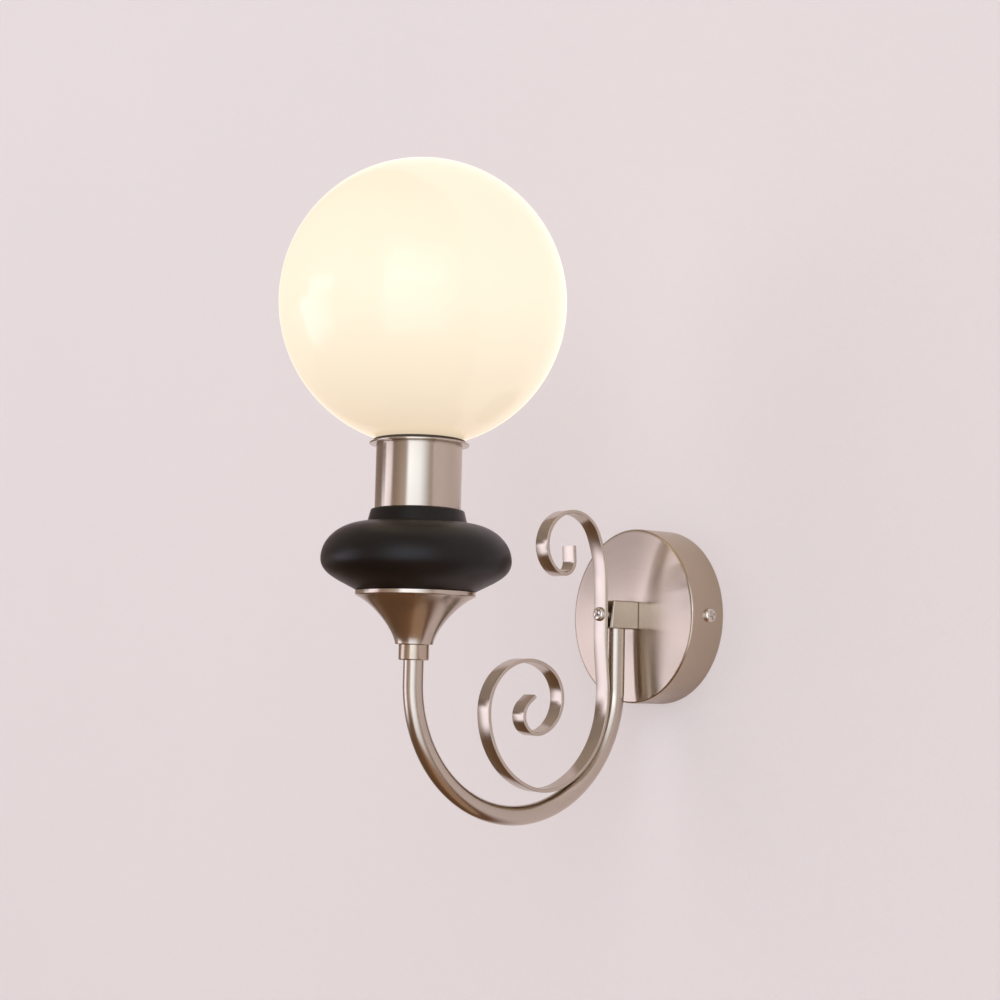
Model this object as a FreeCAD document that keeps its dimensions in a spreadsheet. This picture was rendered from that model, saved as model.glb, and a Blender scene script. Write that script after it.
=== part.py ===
"""Globe wall sconce: an opal globe on a turned wooden body, carried by a bent tube and a scroll.

Frame: the wall is the plane y = 0, the origin is the centre of the canopy's back, the lamp
stands out towards -Y and +Z is up. All lengths are millimetres and all angles degrees.
"""

import FreeCAD, Part
import math
import os

import Sketcher

Vector = FreeCAD.Vector
OUTWARDS = FreeCAD.Rotation(Vector(1, 0, 0), 90)
UPRIGHT = FreeCAD.Rotation()
TOWARDS_RIGHT = FreeCAD.Rotation(Vector(0, 1, 0), 90)
TOWARDS_LEFT = FreeCAD.Rotation(Vector(0, 1, 0), -90)

SIZES = {
    # Canopy on the wall and the bracket it hides.
    "canopy_radius": 50.0,
    "canopy_depth": 25.0,
    "canopy_wall": 1.2,
    "canopy_edge_fillet": 1.2,
    "side_screw_depth": 11.0,
    "bracket_clearance": 1.2,
    "bracket_height": 16.0,
    "bracket_thickness": 2.0,
    "bracket_tab_depth": 16.0,
    "bracket_bend": 2.5,
    "wall_hole_pitch": 70.0,
    "wall_hole_radius": 2.25,
    "cable_hole_radius": 5.0,
    "cable_hole_offset": 9.0,
    "earth_screw_offset": 22.0,
    "earth_washer_radius": 4.6,
    "earth_washer_thickness": 1.0,
    # Connector block on the bracket.
    "terminal_offset": 18.0,
    "terminal_width": 20.0,
    "terminal_height": 15.0,
    "terminal_depth": 11.0,
    "terminal_pitch": 11.0,
    "terminal_insert_radius": 2.4,
    "terminal_insert_bore": 1.5,
    "terminal_insert_length": 13.0,
    "terminal_screw_inset": 3.6,
    "terminal_screw_radius": 1.3,
    # Screws: machine thread for the case, smaller one for the connector block.
    "screw_radius": 2.0,
    "screw_head_radius": 4.0,
    "screw_head_height": 2.4,
    "screw_recess_length": 4.6,
    "screw_recess_width": 1.0,
    "screw_recess_depth": 1.3,
    "side_screw_length": 8.0,
    "strap_screw_length": 6.4,
    "small_screw_radius": 1.5,
    "small_screw_head_radius": 2.7,
    "small_screw_head_height": 1.8,
    "small_screw_length": 12.6,
    "thread_clearance": 0.05,
    "screw_clearance": 0.25,
    # Square block on the canopy and the hollow stud that holds it.
    "block_width": 15.0,
    "block_height": 15.8,
    "block_length": 21.0,
    "block_chamfer": 0.5,
    "stud_radius": 4.0,
    "stud_bore_radius": 2.5,
    "stud_grip": 5.0,
    "stud_bore_rest": 4.3,
    "stud_tail": 8.6,
    "washer_thickness": 1.2,
    "washer_radius": 8.0,
    "nut_height": 4.0,
    "nut_flats": 13.0,
    # Bent tube.
    "tube_radius": 5.3,
    "tube_wall": 1.2,
    "tube_insertion": 4.2,
    "tube_bore_depth": 11.8,
    "bend_drop": 40.5,
    "lamp_offset": 176.0,
    # Flat scroll.
    "strap_width": 10.0,
    "strap_thickness": 2.0,
    "strap_flat": 9.0,
    "bow_radius": 150.0,
    "upper_bow_turn": 4.0,
    "upper_rise": 1.6,
    "upper_shoulder_radius": 66.8,
    "upper_shoulder_turn": 21.3,
    "upper_loop_radius": 19.5,
    "upper_loop_turn": 144.0,
    "upper_curl_radius": 17.4,
    "upper_curl_turn": 71.0,
    "upper_tip_radius": 7.4,
    "upper_tip_turn": 123.5,
    "upper_tip_length": 8.3,
    "lower_bow_turn": 6.0,
    "lower_fall": 12.0,
    "lower_knee_radius": 72.3,
    "lower_knee_turn": 15.3,
    "lower_sweep_radius": 51.7,
    "lower_sweep_turn": 58.2,
    "lower_foot_radius": 31.6,
    "lower_foot_turn": 38.2,
    "lower_back_radius": 43.3,
    "lower_back_turn": 75.0,
    "lower_crown_radius": 27.2,
    "lower_crown_turn": 121.5,
    "lower_curl_radius": 19.4,
    "lower_curl_turn": 134.0,
    "lower_tip_radius": 9.7,
    "lower_tip_turn": 154.0,
    "lower_tip_length": 5.2,
    # Stack over the tube's front end, from the bottom up.
    "stack_drop": 21.1,
    "ferrule_radius": 7.9,
    "ferrule_height": 8.1,
    "ferrule_lip": 1.0,
    "ferrule_fillet": 0.8,
    "rod_radius": 4.0,
    "rod_bore_radius": 2.75,
    "rod_engagement": 15.0,
    "rod_clearance": 0.25,
    "cup_height": 27.5,
    "cup_wall": 1.0,
    "cup_neck_radius": 9.9,
    "cup_rim_radius": 31.4,
    "cup_rim_height": 2.5,
    "cup_neck_handle": 6.1,
    "cup_flare_radius": 20.5,
    "cup_flare_drop": 4.9,
    "wood_radius": 49.8,
    "wood_height": 42.5,
    "wood_belly_height": 16.3,
    "wood_foot_radius": 30.9,
    "wood_foot_flare": 9.6,
    "wood_foot_rise": 5.3,
    "wood_collar_base_radius": 26.2,
    "wood_collar_radius": 24.4,
    "wood_collar_height": 7.0,
    "wood_clearance": 0.3,
    "cover_radius": 22.6,
    "cover_height": 34.2,
    "cover_wall": 1.0,
    "plate_radius": 26.2,
    "plate_thickness": 1.0,
    "plate_lip": 2.0,
    "plate_spigot_height": 3.5,
    "plate_spigot_wall": 1.0,
    "plate_clearance": 0.2,
    "gasket_thickness": 1.6,
    "gasket_radius": 24.2,
    "gasket_fit": 0.3,
    "gasket_gap": 0.05,
    # Lampholder.
    "holder_radius": 14.0,
    "holder_height": 37.0,
    "holder_base": 6.0,
    "holder_chamber_radius": 9.0,
    "holder_chamber_height": 8.0,
    "holder_floor": 3.0,
    "holder_entry": 6.0,
    "shell_radius": 7.7,
    "shell_wall": 0.4,
    "shell_height": 17.0,
    "contact_radius": 3.5,
    "contact_rivet_radius": 1.9,
    "contact_thickness": 0.6,
    "ring_radius": 17.2,
    "ring_height": 4.0,
    # Globe and bulb.
    "globe_radius": 76.0,
    "globe_wall": 2.5,
    "globe_hole_radius": 20.0,
    "globe_hole_clearance": 0.6,
    "bulb_gap": 0.3,
    "bulb_contact_radius": 2.4,
    "bulb_contact_height": 1.2,
    "bulb_insulator_radius": 6.2,
    "bulb_insulator_height": 1.6,
    "bulb_cap_radius": 6.95,
    "bulb_cap_wall": 0.7,
    "bulb_cap_height": 18.6,
    "bulb_plug_height": 8.0,
    "bulb_neck_radius": 8.4,
    "bulb_radius": 17.2,
    "bulb_housing_height": 23.0,
    "bulb_diffuser_height": 49.5,
    "bulb_diffuser_wall": 1.0,
}


class Size:
    """A length that knows both its value and the sheet expression that gives it."""

    def __init__(self, value, text):
        self.value = float(value)
        self.text = text

    @staticmethod
    def of(other):
        """Return other as a Size, so that plain numbers can join in."""
        if isinstance(other, Size):
            return other
        return Size(other, repr(float(other)))

    def _join(self, other, sign, value):
        return Size(value, "(%s %s %s)" % (self.text, sign, Size.of(other).text))

    def __add__(self, other):
        return self._join(other, "+", self.value + Size.of(other).value)

    def __sub__(self, other):
        return self._join(other, "-", self.value - Size.of(other).value)

    def __mul__(self, other):
        return self._join(other, "*", self.value * Size.of(other).value)

    def __truediv__(self, other):
        return self._join(other, "/", self.value / Size.of(other).value)

    def __neg__(self):
        return Size(-self.value, "(0 - %s)" % self.text)


class Sheet:
    """The driving sizes as a spreadsheet, read back by name."""

    def __init__(self, doc):
        self._sheet = doc.addObject("Spreadsheet::Sheet", "Sizes")
        for row, (name, value) in enumerate(SIZES.items(), start=1):
            self._sheet.set("A%d" % row, name)
            self._sheet.set("B%d" % row, str(value))
            self._sheet.setAlias("B%d" % row, name)
        doc.recompute()

    def __getattr__(self, name):
        return Size(self._sheet.get(name), "Sizes." + name)


def leg(long_side, short_side):
    """Return the other leg of a right triangle, for a chord's distance from a sphere's centre."""
    value = math.sqrt(long_side.value ** 2 - short_side.value ** 2)
    return Size(value, "sqrt(%s ^ 2 - %s ^ 2)" % (long_side.text, short_side.text))


ZERO = Size(0.0, "0")


# ---------------------------------------------------------------------------------------------
# Sketching and features
# ---------------------------------------------------------------------------------------------


def new_body(doc, name):
    """Add one named body."""
    body = doc.addObject("PartDesign::Body", name)
    body.Label = name
    return body


def new_sketch(body, name, role, lift=None):
    """Attach a sketch to one of the body's own origin planes, lifted off it by a size."""
    plane = [item for item in body.Origin.OriginFeatures if item.Role == role][0]
    sketch = body.newObject("Sketcher::SketchObject", name)
    sketch.AttachmentSupport = [(plane, "")]
    sketch.MapMode = "FlatFace"
    if lift is not None:
        sketch.AttachmentOffset = FreeCAD.Placement(Vector(0, 0, lift.value), FreeCAD.Rotation())
        sketch.setExpression("AttachmentOffset.Base.z", lift.text)
    return sketch


def bind(sketch, kind, references, size, name):
    """Add one dimensional constraint and tie it to the sheet."""
    index = sketch.addConstraint(Sketcher.Constraint(kind, *references, size.value))
    sketch.renameConstraint(index, name)
    sketch.setExpression("Constraints." + name, size.text)


def pin_point(sketch, edge, end, point, name):
    """Hold one end of an edge at a point measured from the sketch's origin."""
    across, up = point
    if across.value == 0.0:
        sketch.addConstraint(Sketcher.Constraint("PointOnObject", edge, end, -2))
    else:
        bind(sketch, "DistanceX", (-1, 1, edge, end), across, name + "_across")
    if up.value == 0.0:
        sketch.addConstraint(Sketcher.Constraint("PointOnObject", edge, end, -1))
    else:
        bind(sketch, "DistanceY", (-1, 1, edge, end), up, name + "_up")


def flat(point):
    """Return a pair of sizes as a vector in the sketch."""
    return Vector(point[0].value, point[1].value, 0)


def trace(sketch, start, steps):
    """Draw a closed outline from a start point.

    Each step is ("line", point), ("curve", handle, handle, point) or ("arc", radius, point,
    via), where via is a point that the arc passes through. The last point is the start.
    """
    pen = start
    joints = []
    for number, step in enumerate(steps):
        target = step[-1] if step[0] != "arc" else step[2]
        if step[0] == "line":
            edge = sketch.addGeometry(Part.LineSegment(flat(pen), flat(target)), False)
            ends = (1, 2)
        elif step[0] == "curve":
            curve = Part.BezierCurve()
            curve.setPoles([flat(pen), flat(step[1]), flat(step[2]), flat(target)])
            edge = sketch.addGeometry(curve.toBSpline(), False)
            ends = (1, 2)
        else:
            arc = Part.Arc(flat(pen), flat(step[3]), flat(target))
            edge = sketch.addGeometry(arc, False)
            starts_here = sketch.Geometry[edge].StartPoint.isEqual(flat(pen), 1e-6)
            ends = (1, 2) if starts_here else (2, 1)
            bind(sketch, "Radius", (edge,), step[1], "radius%d" % number)
        joints.append((edge, ends))
        pin_point(sketch, edge, ends[0], pen, "p%d" % number)
        pen = target
    for here, there in zip(joints, joints[1:] + joints[:1]):
        sketch.addConstraint(
            Sketcher.Constraint("Coincident", here[0], here[1][1], there[0], there[1][0])
        )


def trace_circle(sketch, centre, radius, name):
    """Draw one circle about a point."""
    edge = sketch.addGeometry(Part.Circle(flat(centre), Vector(0, 0, 1), radius.value), False)
    pin_point(sketch, edge, 3, centre, name)
    bind(sketch, "Radius", (edge,), radius, name + "_radius")


def rectangle(half_width, half_height):
    """Return the start and steps of a rectangle about the sketch's origin."""
    left, low = -half_width, -half_height
    steps = [
        ("line", (half_width, low)),
        ("line", (half_width, half_height)),
        ("line", (left, half_height)),
        ("line", (left, low)),
    ]
    return (left, low), steps


def revolve(body, name, start, steps):
    """Turn an outline of (radius, height) points about the body's Z axis."""
    sketch = new_sketch(body, name + "_profile", "XZ_Plane")
    trace(sketch, start, steps)
    feature = body.newObject("PartDesign::Revolution", name)
    feature.Profile = sketch
    feature.ReferenceAxis = (sketch, ["V_Axis"])
    feature.Angle = 360
    body.Document.recompute()
    return feature


def pad(body, name, sketch, length, midplane=False):
    """Raise a sketch by a length."""
    feature = body.newObject("PartDesign::Pad", name)
    feature.Profile = sketch
    feature.Length = length.value
    feature.setExpression("Length", length.text)
    feature.Midplane = midplane
    body.Document.recompute()
    return feature


def pocket(body, name, sketch, depth=None, reverse=False):
    """Cut a sketch into the body, to a depth or right through both ways."""
    before = body.Shape.Volume
    feature = body.newObject("PartDesign::Pocket", name)
    feature.Profile = sketch
    if depth is None:
        feature.Type = "ThroughAll"
        feature.Midplane = True
    else:
        feature.Length = depth.value
        feature.setExpression("Length", depth.text)
        feature.Reversed = reverse
    body.Document.recompute()
    if not feature.Shape.Volume < before:
        raise RuntimeError("%s cuts nothing" % name)
    return feature


def edges_where(feature, test):
    """Return the names of the feature's edges that pass a test."""
    found = []
    for number, edge in enumerate(feature.Shape.Edges, start=1):
        if test(edge):
            found.append("Edge%d" % number)
    return found


def round_edges(body, name, feature, test, radius, kind="PartDesign::Fillet"):
    """Round, or with kind PartDesign::Chamfer bevel, the edges that pass a test."""
    names = edges_where(feature, test)
    if not names:
        raise RuntimeError("%s finds no edge" % name)
    dressing = body.newObject(kind, name)
    dressing.Base = (feature, names)
    size_name = "Radius" if kind == "PartDesign::Fillet" else "Size"
    setattr(dressing, size_name, radius.value)
    dressing.setExpression(size_name, radius.text)
    body.Document.recompute()
    return dressing


def is_ring(radius, height):
    """Return a test for a circular edge of this radius at this height."""

    def test(edge):
        curve = edge.Curve
        if not isinstance(curve, Part.Circle):
            return False
        level = edge.Vertexes[0].Point.z
        return abs(curve.Radius - radius.value) < 1e-4 and abs(level - height.value) < 1e-4

    return test


def place(body, across, out, up, rotation):
    """Put a body where three sizes say, out being the distance from the wall."""
    y_place = -out
    body.Placement = FreeCAD.Placement(Vector(across.value, y_place.value, up.value), rotation)
    body.setExpression("Placement.Base.x", across.text)
    body.setExpression("Placement.Base.y", y_place.text)
    body.setExpression("Placement.Base.z", up.text)
    body.Document.recompute()
    return body


def ring_body(doc, name, outer, inner, height):
    """Make a plain ring that stands on its own origin."""
    body = new_body(doc, name)
    steps = [
        ("line", (outer, ZERO)),
        ("line", (outer, height)),
        ("line", (inner, height)),
        ("line", (inner, ZERO)),
    ]
    revolve(body, name + "_ring", (inner, ZERO), steps)
    return body


# ---------------------------------------------------------------------------------------------
# Levels of the stack over the tube's front end
# ---------------------------------------------------------------------------------------------


class Levels:
    """Heights at which the pieces of the lamp stand on each other."""

    def __init__(self, s):
        self.cup = -s.stack_drop
        self.ferrule = self.cup - s.ferrule_height
        self.tube_end = self.cup - s.ferrule_lip
        self.rim = self.cup + s.cup_height
        self.wood = self.rim - (s.cup_rim_height - s.cup_wall * 0.5)
        self.wood_top = self.rim + s.wood_height
        self.cover_floor = self.wood_top + s.cover_wall
        self.rod_nut = self.cover_floor + s.washer_thickness
        self.holder = self.rod_nut + s.nut_height
        self.plate = self.wood_top + s.cover_height
        self.plate_top = self.plate + s.plate_thickness
        self.globe_edge = self.plate_top + s.gasket_thickness + s.gasket_gap
        self.globe = self.globe_edge + leg(s.globe_radius, s.globe_hole_radius)
        self.holder_inside = self.holder + s.holder_base + s.holder_chamber_height + s.holder_floor
        self.bulb = self.holder_inside + s.contact_thickness + s.bulb_gap


# ---------------------------------------------------------------------------------------------
# Fasteners
# ---------------------------------------------------------------------------------------------


def pan_screw(doc, s, name, shank, head, head_height, length):
    """Make a cross-recessed pan head screw, its tip on its own origin and its head up."""
    body = new_body(doc, name)
    bevel = shank * 0.2
    top = length + head_height
    steps = [
        ("line", (shank - bevel, ZERO)),
        ("line", (shank, bevel)),
        ("line", (shank, length)),
        ("line", (head, length)),
        ("curve", (head, length + head_height * 0.7), (head * 0.8, top), (head * 0.45, top)),
        ("line", (ZERO, top)),
        ("line", (ZERO, ZERO)),
    ]
    revolve(body, name + "_turned", (ZERO, ZERO), steps)
    share = head / s.screw_head_radius
    reach = s.screw_recess_length * share / 2
    half = s.screw_recess_width * share / 2
    recess = new_sketch(body, name + "_cross", "XY_Plane", lift=top)
    steps = [
        ("line", (half, -reach)),
        ("line", (half, -half)),
        ("line", (reach, -half)),
        ("line", (reach, half)),
        ("line", (half, half)),
        ("line", (half, reach)),
        ("line", (-half, reach)),
        ("line", (-half, half)),
        ("line", (-reach, half)),
        ("line", (-reach, -half)),
        ("line", (-half, -half)),
        ("line", (-half, -reach)),
    ]
    trace(recess, (-half, -reach), steps)
    pocket(body, name + "_recess", recess, depth=s.screw_recess_depth * share)
    return body


def hex_nut(doc, s, name, thread_radius):
    """Make a plain hexagonal nut that stands on its own origin."""
    body = new_body(doc, name)
    corner = s.nut_flats / math.sqrt(3.0)
    points = []
    for number in range(6):
        angle = math.radians(60.0 * number)
        points.append((corner * math.cos(angle), corner * round(math.sin(angle), 12)))
    sketch = new_sketch(body, name + "_outline", "XY_Plane")
    trace(sketch, points[0], [("line", point) for point in points[1:] + points[:1]])
    pad(body, name + "_blank", sketch, s.nut_height)
    bore = new_sketch(body, name + "_bore_outline", "XY_Plane")
    trace_circle(bore, (ZERO, ZERO), thread_radius + s.thread_clearance, "bore")
    pocket(body, name + "_bore", bore)
    return body


# ---------------------------------------------------------------------------------------------
# Wall side
# ---------------------------------------------------------------------------------------------


def make_canopy_cover(doc, s):
    """Drawn cup that hides the wall box, open towards the wall."""
    body = new_body(doc, "canopy_cover")
    inner = s.canopy_radius - s.canopy_wall
    face = s.canopy_depth - s.canopy_wall
    steps = [
        ("line", (s.canopy_radius, ZERO)),
        ("line", (s.canopy_radius, s.canopy_depth)),
        ("line", (ZERO, s.canopy_depth)),
        ("line", (ZERO, face)),
        ("line", (inner, face)),
        ("line", (inner, ZERO)),
    ]
    shell = revolve(body, "canopy_shell", (inner, ZERO), steps)
    front = is_ring(s.canopy_radius, s.canopy_depth)
    round_edges(body, "canopy_edge", shell, front, s.canopy_edge_fillet)
    stud_hole = new_sketch(body, "canopy_stud_outline", "XY_Plane")
    trace_circle(stud_hole, (ZERO, ZERO), s.stud_radius + s.screw_clearance, "stud")
    pocket(body, "canopy_stud_hole", stud_hole)
    side_hole = new_sketch(body, "canopy_side_outline", "YZ_Plane")
    trace_circle(side_hole, (ZERO, s.side_screw_depth), s.screw_radius + s.screw_clearance, "side")
    pocket(body, "canopy_side_holes", side_hole)
    return place(body, ZERO, ZERO, ZERO, OUTWARDS)


def make_wall_bracket(doc, s):
    """Bent steel strip that is screwed to the wall and takes the canopy's side screws."""
    body = new_body(doc, "wall_bracket")
    outer = s.canopy_radius - s.canopy_wall - s.bracket_clearance
    inner = outer - s.bracket_thickness
    sketch = new_sketch(body, "bracket_outline", "XZ_Plane")
    steps = [
        ("line", (outer, ZERO)),
        ("line", (outer, s.bracket_tab_depth)),
        ("line", (inner, s.bracket_tab_depth)),
        ("line", (inner, s.bracket_thickness)),
        ("line", (-inner, s.bracket_thickness)),
        ("line", (-inner, s.bracket_tab_depth)),
        ("line", (-outer, s.bracket_tab_depth)),
        ("line", (-outer, ZERO)),
    ]
    trace(sketch, (-outer, ZERO), steps)
    strip = pad(body, "bracket_strip", sketch, s.bracket_height, midplane=True)

    def outer_bend(edge):
        first, last = [vertex.Point for vertex in edge.Vertexes]
        at_end = abs(abs(first.x) - outer.value) < 1e-4 and abs(first.z) < 1e-4
        return at_end and abs(last.x - first.x) < 1e-4 and abs(last.z) < 1e-4

    round_edges(body, "bracket_bends", strip, outer_bend, s.bracket_bend)
    holes = new_sketch(body, "bracket_hole_outlines", "XY_Plane")
    half_pitch = s.wall_hole_pitch / 2
    tapped = s.screw_radius + s.thread_clearance
    trace_circle(holes, (half_pitch, ZERO), s.wall_hole_radius, "wall_right")
    trace_circle(holes, (-half_pitch, ZERO), s.wall_hole_radius, "wall_left")
    trace_circle(holes, (s.cable_hole_offset, ZERO), s.cable_hole_radius, "cable")
    trace_circle(holes, (s.earth_screw_offset, ZERO), tapped, "earth")
    small_tapped = s.small_screw_radius + s.thread_clearance
    trace_circle(holes, (-s.terminal_offset, ZERO), small_tapped, "terminal")
    pocket(body, "bracket_holes", holes)
    sides = new_sketch(body, "bracket_side_outline", "YZ_Plane")
    trace_circle(sides, (ZERO, s.side_screw_depth), tapped, "side")
    pocket(body, "bracket_side_holes", sides)
    return place(body, ZERO, ZERO, ZERO, OUTWARDS)


def make_side_screws(doc, s):
    """Two screws that hold the canopy to the bracket's tabs, one on each side."""
    tip = s.canopy_radius - s.side_screw_length
    for name, across, rotation in (
        ("canopy_screw_right", tip, TOWARDS_RIGHT),
        ("canopy_screw_left", -tip, TOWARDS_LEFT),
    ):
        screw = pan_screw(
            doc, s, name, s.screw_radius, s.screw_head_radius, s.screw_head_height,
            s.side_screw_length,
        )
        place(screw, across, s.side_screw_depth, ZERO, rotation)


def make_terminal_block(doc, s):
    """Two-way connector block with its brass inserts and fixing screw."""
    body = new_body(doc, "terminal_block")
    sketch = new_sketch(body, "terminal_outline", "XY_Plane")
    trace(sketch, *rectangle(s.terminal_width / 2, s.terminal_height / 2))
    pad(body, "terminal_blank", sketch, s.terminal_depth)
    channels = new_sketch(body, "terminal_channel_outlines", "XZ_Plane")
    wells = new_sketch(body, "terminal_well_outlines", "XY_Plane", lift=s.terminal_depth)
    centre = s.terminal_depth / 2
    channel = s.terminal_insert_radius + s.thread_clearance
    row = s.terminal_height / 2 - s.terminal_screw_inset
    for name, side in (("right", s.terminal_pitch / 2), ("left", -(s.terminal_pitch / 2))):
        trace_circle(channels, (side, centre), channel, name)
        trace_circle(wells, (side, row), s.terminal_screw_radius, name + "_upper")
        trace_circle(wells, (side, -row), s.terminal_screw_radius, name + "_lower")
    pocket(body, "terminal_channels", channels)
    pocket(body, "terminal_wells", wells, depth=centre)
    fixing = new_sketch(body, "terminal_fixing_outline", "XY_Plane")
    trace_circle(fixing, (ZERO, ZERO), s.small_screw_radius + s.screw_clearance, "fixing")
    pocket(body, "terminal_fixing_hole", fixing)
    place(body, -s.terminal_offset, s.bracket_thickness, ZERO, OUTWARDS)

    for name, side in (
        ("terminal_insert_right", s.terminal_pitch / 2),
        ("terminal_insert_left", -(s.terminal_pitch / 2)),
    ):
        insert = ring_body(
            doc, name, s.terminal_insert_radius, s.terminal_insert_bore, s.terminal_insert_length
        )
        place(
            insert, side - s.terminal_offset, s.bracket_thickness + centre,
            -(s.terminal_insert_length / 2), UPRIGHT,
        )

    screw = pan_screw(
        doc, s, "terminal_fixing_screw", s.small_screw_radius, s.small_screw_head_radius,
        s.small_screw_head_height, s.small_screw_length,
    )
    tip = s.bracket_thickness + s.terminal_depth - s.small_screw_length
    place(screw, -s.terminal_offset, tip, ZERO, OUTWARDS)


def make_earth_screw(doc, s):
    """Earth screw and its washer on the bracket."""
    washer = ring_body(
        doc, "earth_washer", s.earth_washer_radius, s.screw_radius + s.screw_clearance,
        s.earth_washer_thickness,
    )
    place(washer, s.earth_screw_offset, s.bracket_thickness, ZERO, OUTWARDS)
    screw = pan_screw(
        doc, s, "earth_screw", s.screw_radius, s.screw_head_radius, s.screw_head_height,
        s.bracket_thickness + s.earth_washer_thickness,
    )
    place(screw, s.earth_screw_offset, ZERO, ZERO, OUTWARDS)


def make_arm_block(doc, s):
    """Square block on the canopy that joins the tube and the scroll to the wall side."""
    body = new_body(doc, "arm_block")
    sketch = new_sketch(body, "block_outline", "XY_Plane")
    trace(sketch, *rectangle(s.block_width / 2, s.block_height / 2))
    bar = pad(body, "block_bar", sketch, s.block_length)
    round_edges(body, "block_edges", bar, lambda edge: True, s.block_chamfer, "PartDesign::Chamfer")
    stud = new_sketch(body, "block_stud_outline", "XY_Plane")
    trace_circle(stud, (ZERO, ZERO), s.stud_radius + s.thread_clearance, "stud")
    pocket(body, "block_stud_bore", stud, depth=s.block_length / 2 - s.stud_bore_rest, reverse=True)
    tube = new_sketch(body, "block_tube_outline", "XZ_Plane", lift=s.block_height / 2)
    centre = (ZERO, s.block_length / 2)
    trace_circle(tube, centre, s.tube_radius + s.thread_clearance, "tube")
    pocket(body, "block_tube_bore", tube, depth=s.tube_bore_depth)
    front = new_sketch(body, "block_screw_outline", "XY_Plane", lift=s.block_length)
    trace_circle(front, (ZERO, ZERO), s.screw_radius + s.thread_clearance, "screw")
    engaged = s.strap_screw_length - s.strap_thickness
    pocket(body, "block_screw_hole", front, depth=engaged + s.thread_clearance)
    return place(body, ZERO, s.canopy_depth, ZERO, OUTWARDS)


def make_stud_set(doc, s):
    """Hollow stud through the canopy's face, with the washer and nut that clamp it."""
    stud = ring_body(
        doc, "hollow_stud", s.stud_radius, s.stud_bore_radius, s.stud_tail + s.stud_grip
    )
    place(stud, ZERO, s.canopy_depth - s.stud_tail, ZERO, OUTWARDS)
    washer = ring_body(
        doc, "stud_washer", s.washer_radius, s.stud_radius + s.screw_clearance, s.washer_thickness
    )
    inside = s.canopy_depth - s.canopy_wall
    place(washer, ZERO, inside - s.washer_thickness, ZERO, OUTWARDS)
    nut = hex_nut(doc, s, "stud_nut", s.stud_radius)
    place(nut, ZERO, inside - s.washer_thickness - s.nut_height, ZERO, OUTWARDS)


# ---------------------------------------------------------------------------------------------
# Arm
# ---------------------------------------------------------------------------------------------


def make_arm_tube(doc, s, levels):
    """Bent tube from the block down, round and up to the lamp."""
    body = new_body(doc, "arm_tube")
    wall_end = s.canopy_depth + s.block_length / 2
    span = s.lamp_offset - wall_end
    radius = span / 2
    drop = levels.tube_end + s.bend_drop
    rise_end = s.tube_insertion - s.block_height / 2
    path = new_sketch(body, "tube_path", "YZ_Plane")
    top = (ZERO, ZERO)
    bend_start = (ZERO, -drop)
    bend_low = (radius, -(drop + radius))
    bend_end = (span, -drop)
    finish = (span, rise_end - levels.tube_end)
    path.addGeometry(Part.LineSegment(flat(top), flat(bend_start)), False)
    path.addGeometry(Part.Arc(flat(bend_start), flat(bend_low), flat(bend_end)), False)
    path.addGeometry(Part.LineSegment(flat(bend_end), flat(finish)), False)
    pin_point(path, 0, 1, top, "top")
    pin_point(path, 0, 2, bend_start, "bend_start")
    pin_point(path, 2, 1, bend_end, "bend_end")
    pin_point(path, 2, 2, finish, "finish")
    arc_start = 1 if path.Geometry[1].StartPoint.isEqual(flat(bend_start), 1e-6) else 2
    path.addConstraint(Sketcher.Constraint("Coincident", 0, 2, 1, arc_start))
    path.addConstraint(Sketcher.Constraint("Coincident", 2, 1, 1, 3 - arc_start))
    bind(path, "DistanceY", (-1, 1, 1, 3), -drop, "bend_centre")
    section = new_sketch(body, "tube_section", "XY_Plane")
    trace_circle(section, (ZERO, ZERO), s.tube_radius, "outside")
    trace_circle(section, (ZERO, ZERO), s.tube_radius - s.tube_wall, "inside")
    pipe = body.newObject("PartDesign::AdditivePipe", "tube_pipe")
    pipe.Profile = section
    pipe.Spine = path
    doc.recompute()
    return place(body, ZERO, s.lamp_offset, levels.tube_end, UPRIGHT)


def turned(vector, degrees):
    """Return a vector in the sketch turned anticlockwise."""
    angle = math.radians(degrees)
    return Vector(
        vector.x * math.cos(angle) - vector.y * math.sin(angle),
        vector.x * math.sin(angle) + vector.y * math.cos(angle),
        0,
    )


def strip_side(start, heading, bends, offset):
    """Return one long side of a bent strip as lines and arcs.

    Each bend is (length, 0) for a straight run or (radius, degrees) for an arc, anticlockwise
    where the degrees are positive. The side lies offset to the left of the middle line.
    """
    here = Vector(start)
    way = Vector(heading)
    edges = []
    for measure, turn in bends:
        left = turned(way, 90)
        if turn == 0:
            there, new_way = here + way * measure, way
            edges.append(Part.LineSegment(here + left * offset, there + left * offset))
        else:
            side = 1 if turn > 0 else -1
            centre = here + left * (measure * side)
            there, new_way = centre + turned(here - centre, turn), turned(way, turn)
            middle = centre + turned(here - centre, turn / 2)
            middle_left = turned(left, turn / 2)
            new_left = turned(new_way, 90)
            edges.append(Part.Arc(
                here + left * offset, middle + middle_left * offset, there + new_left * offset
            ))
        here, way = there, new_way
    return edges


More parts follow.
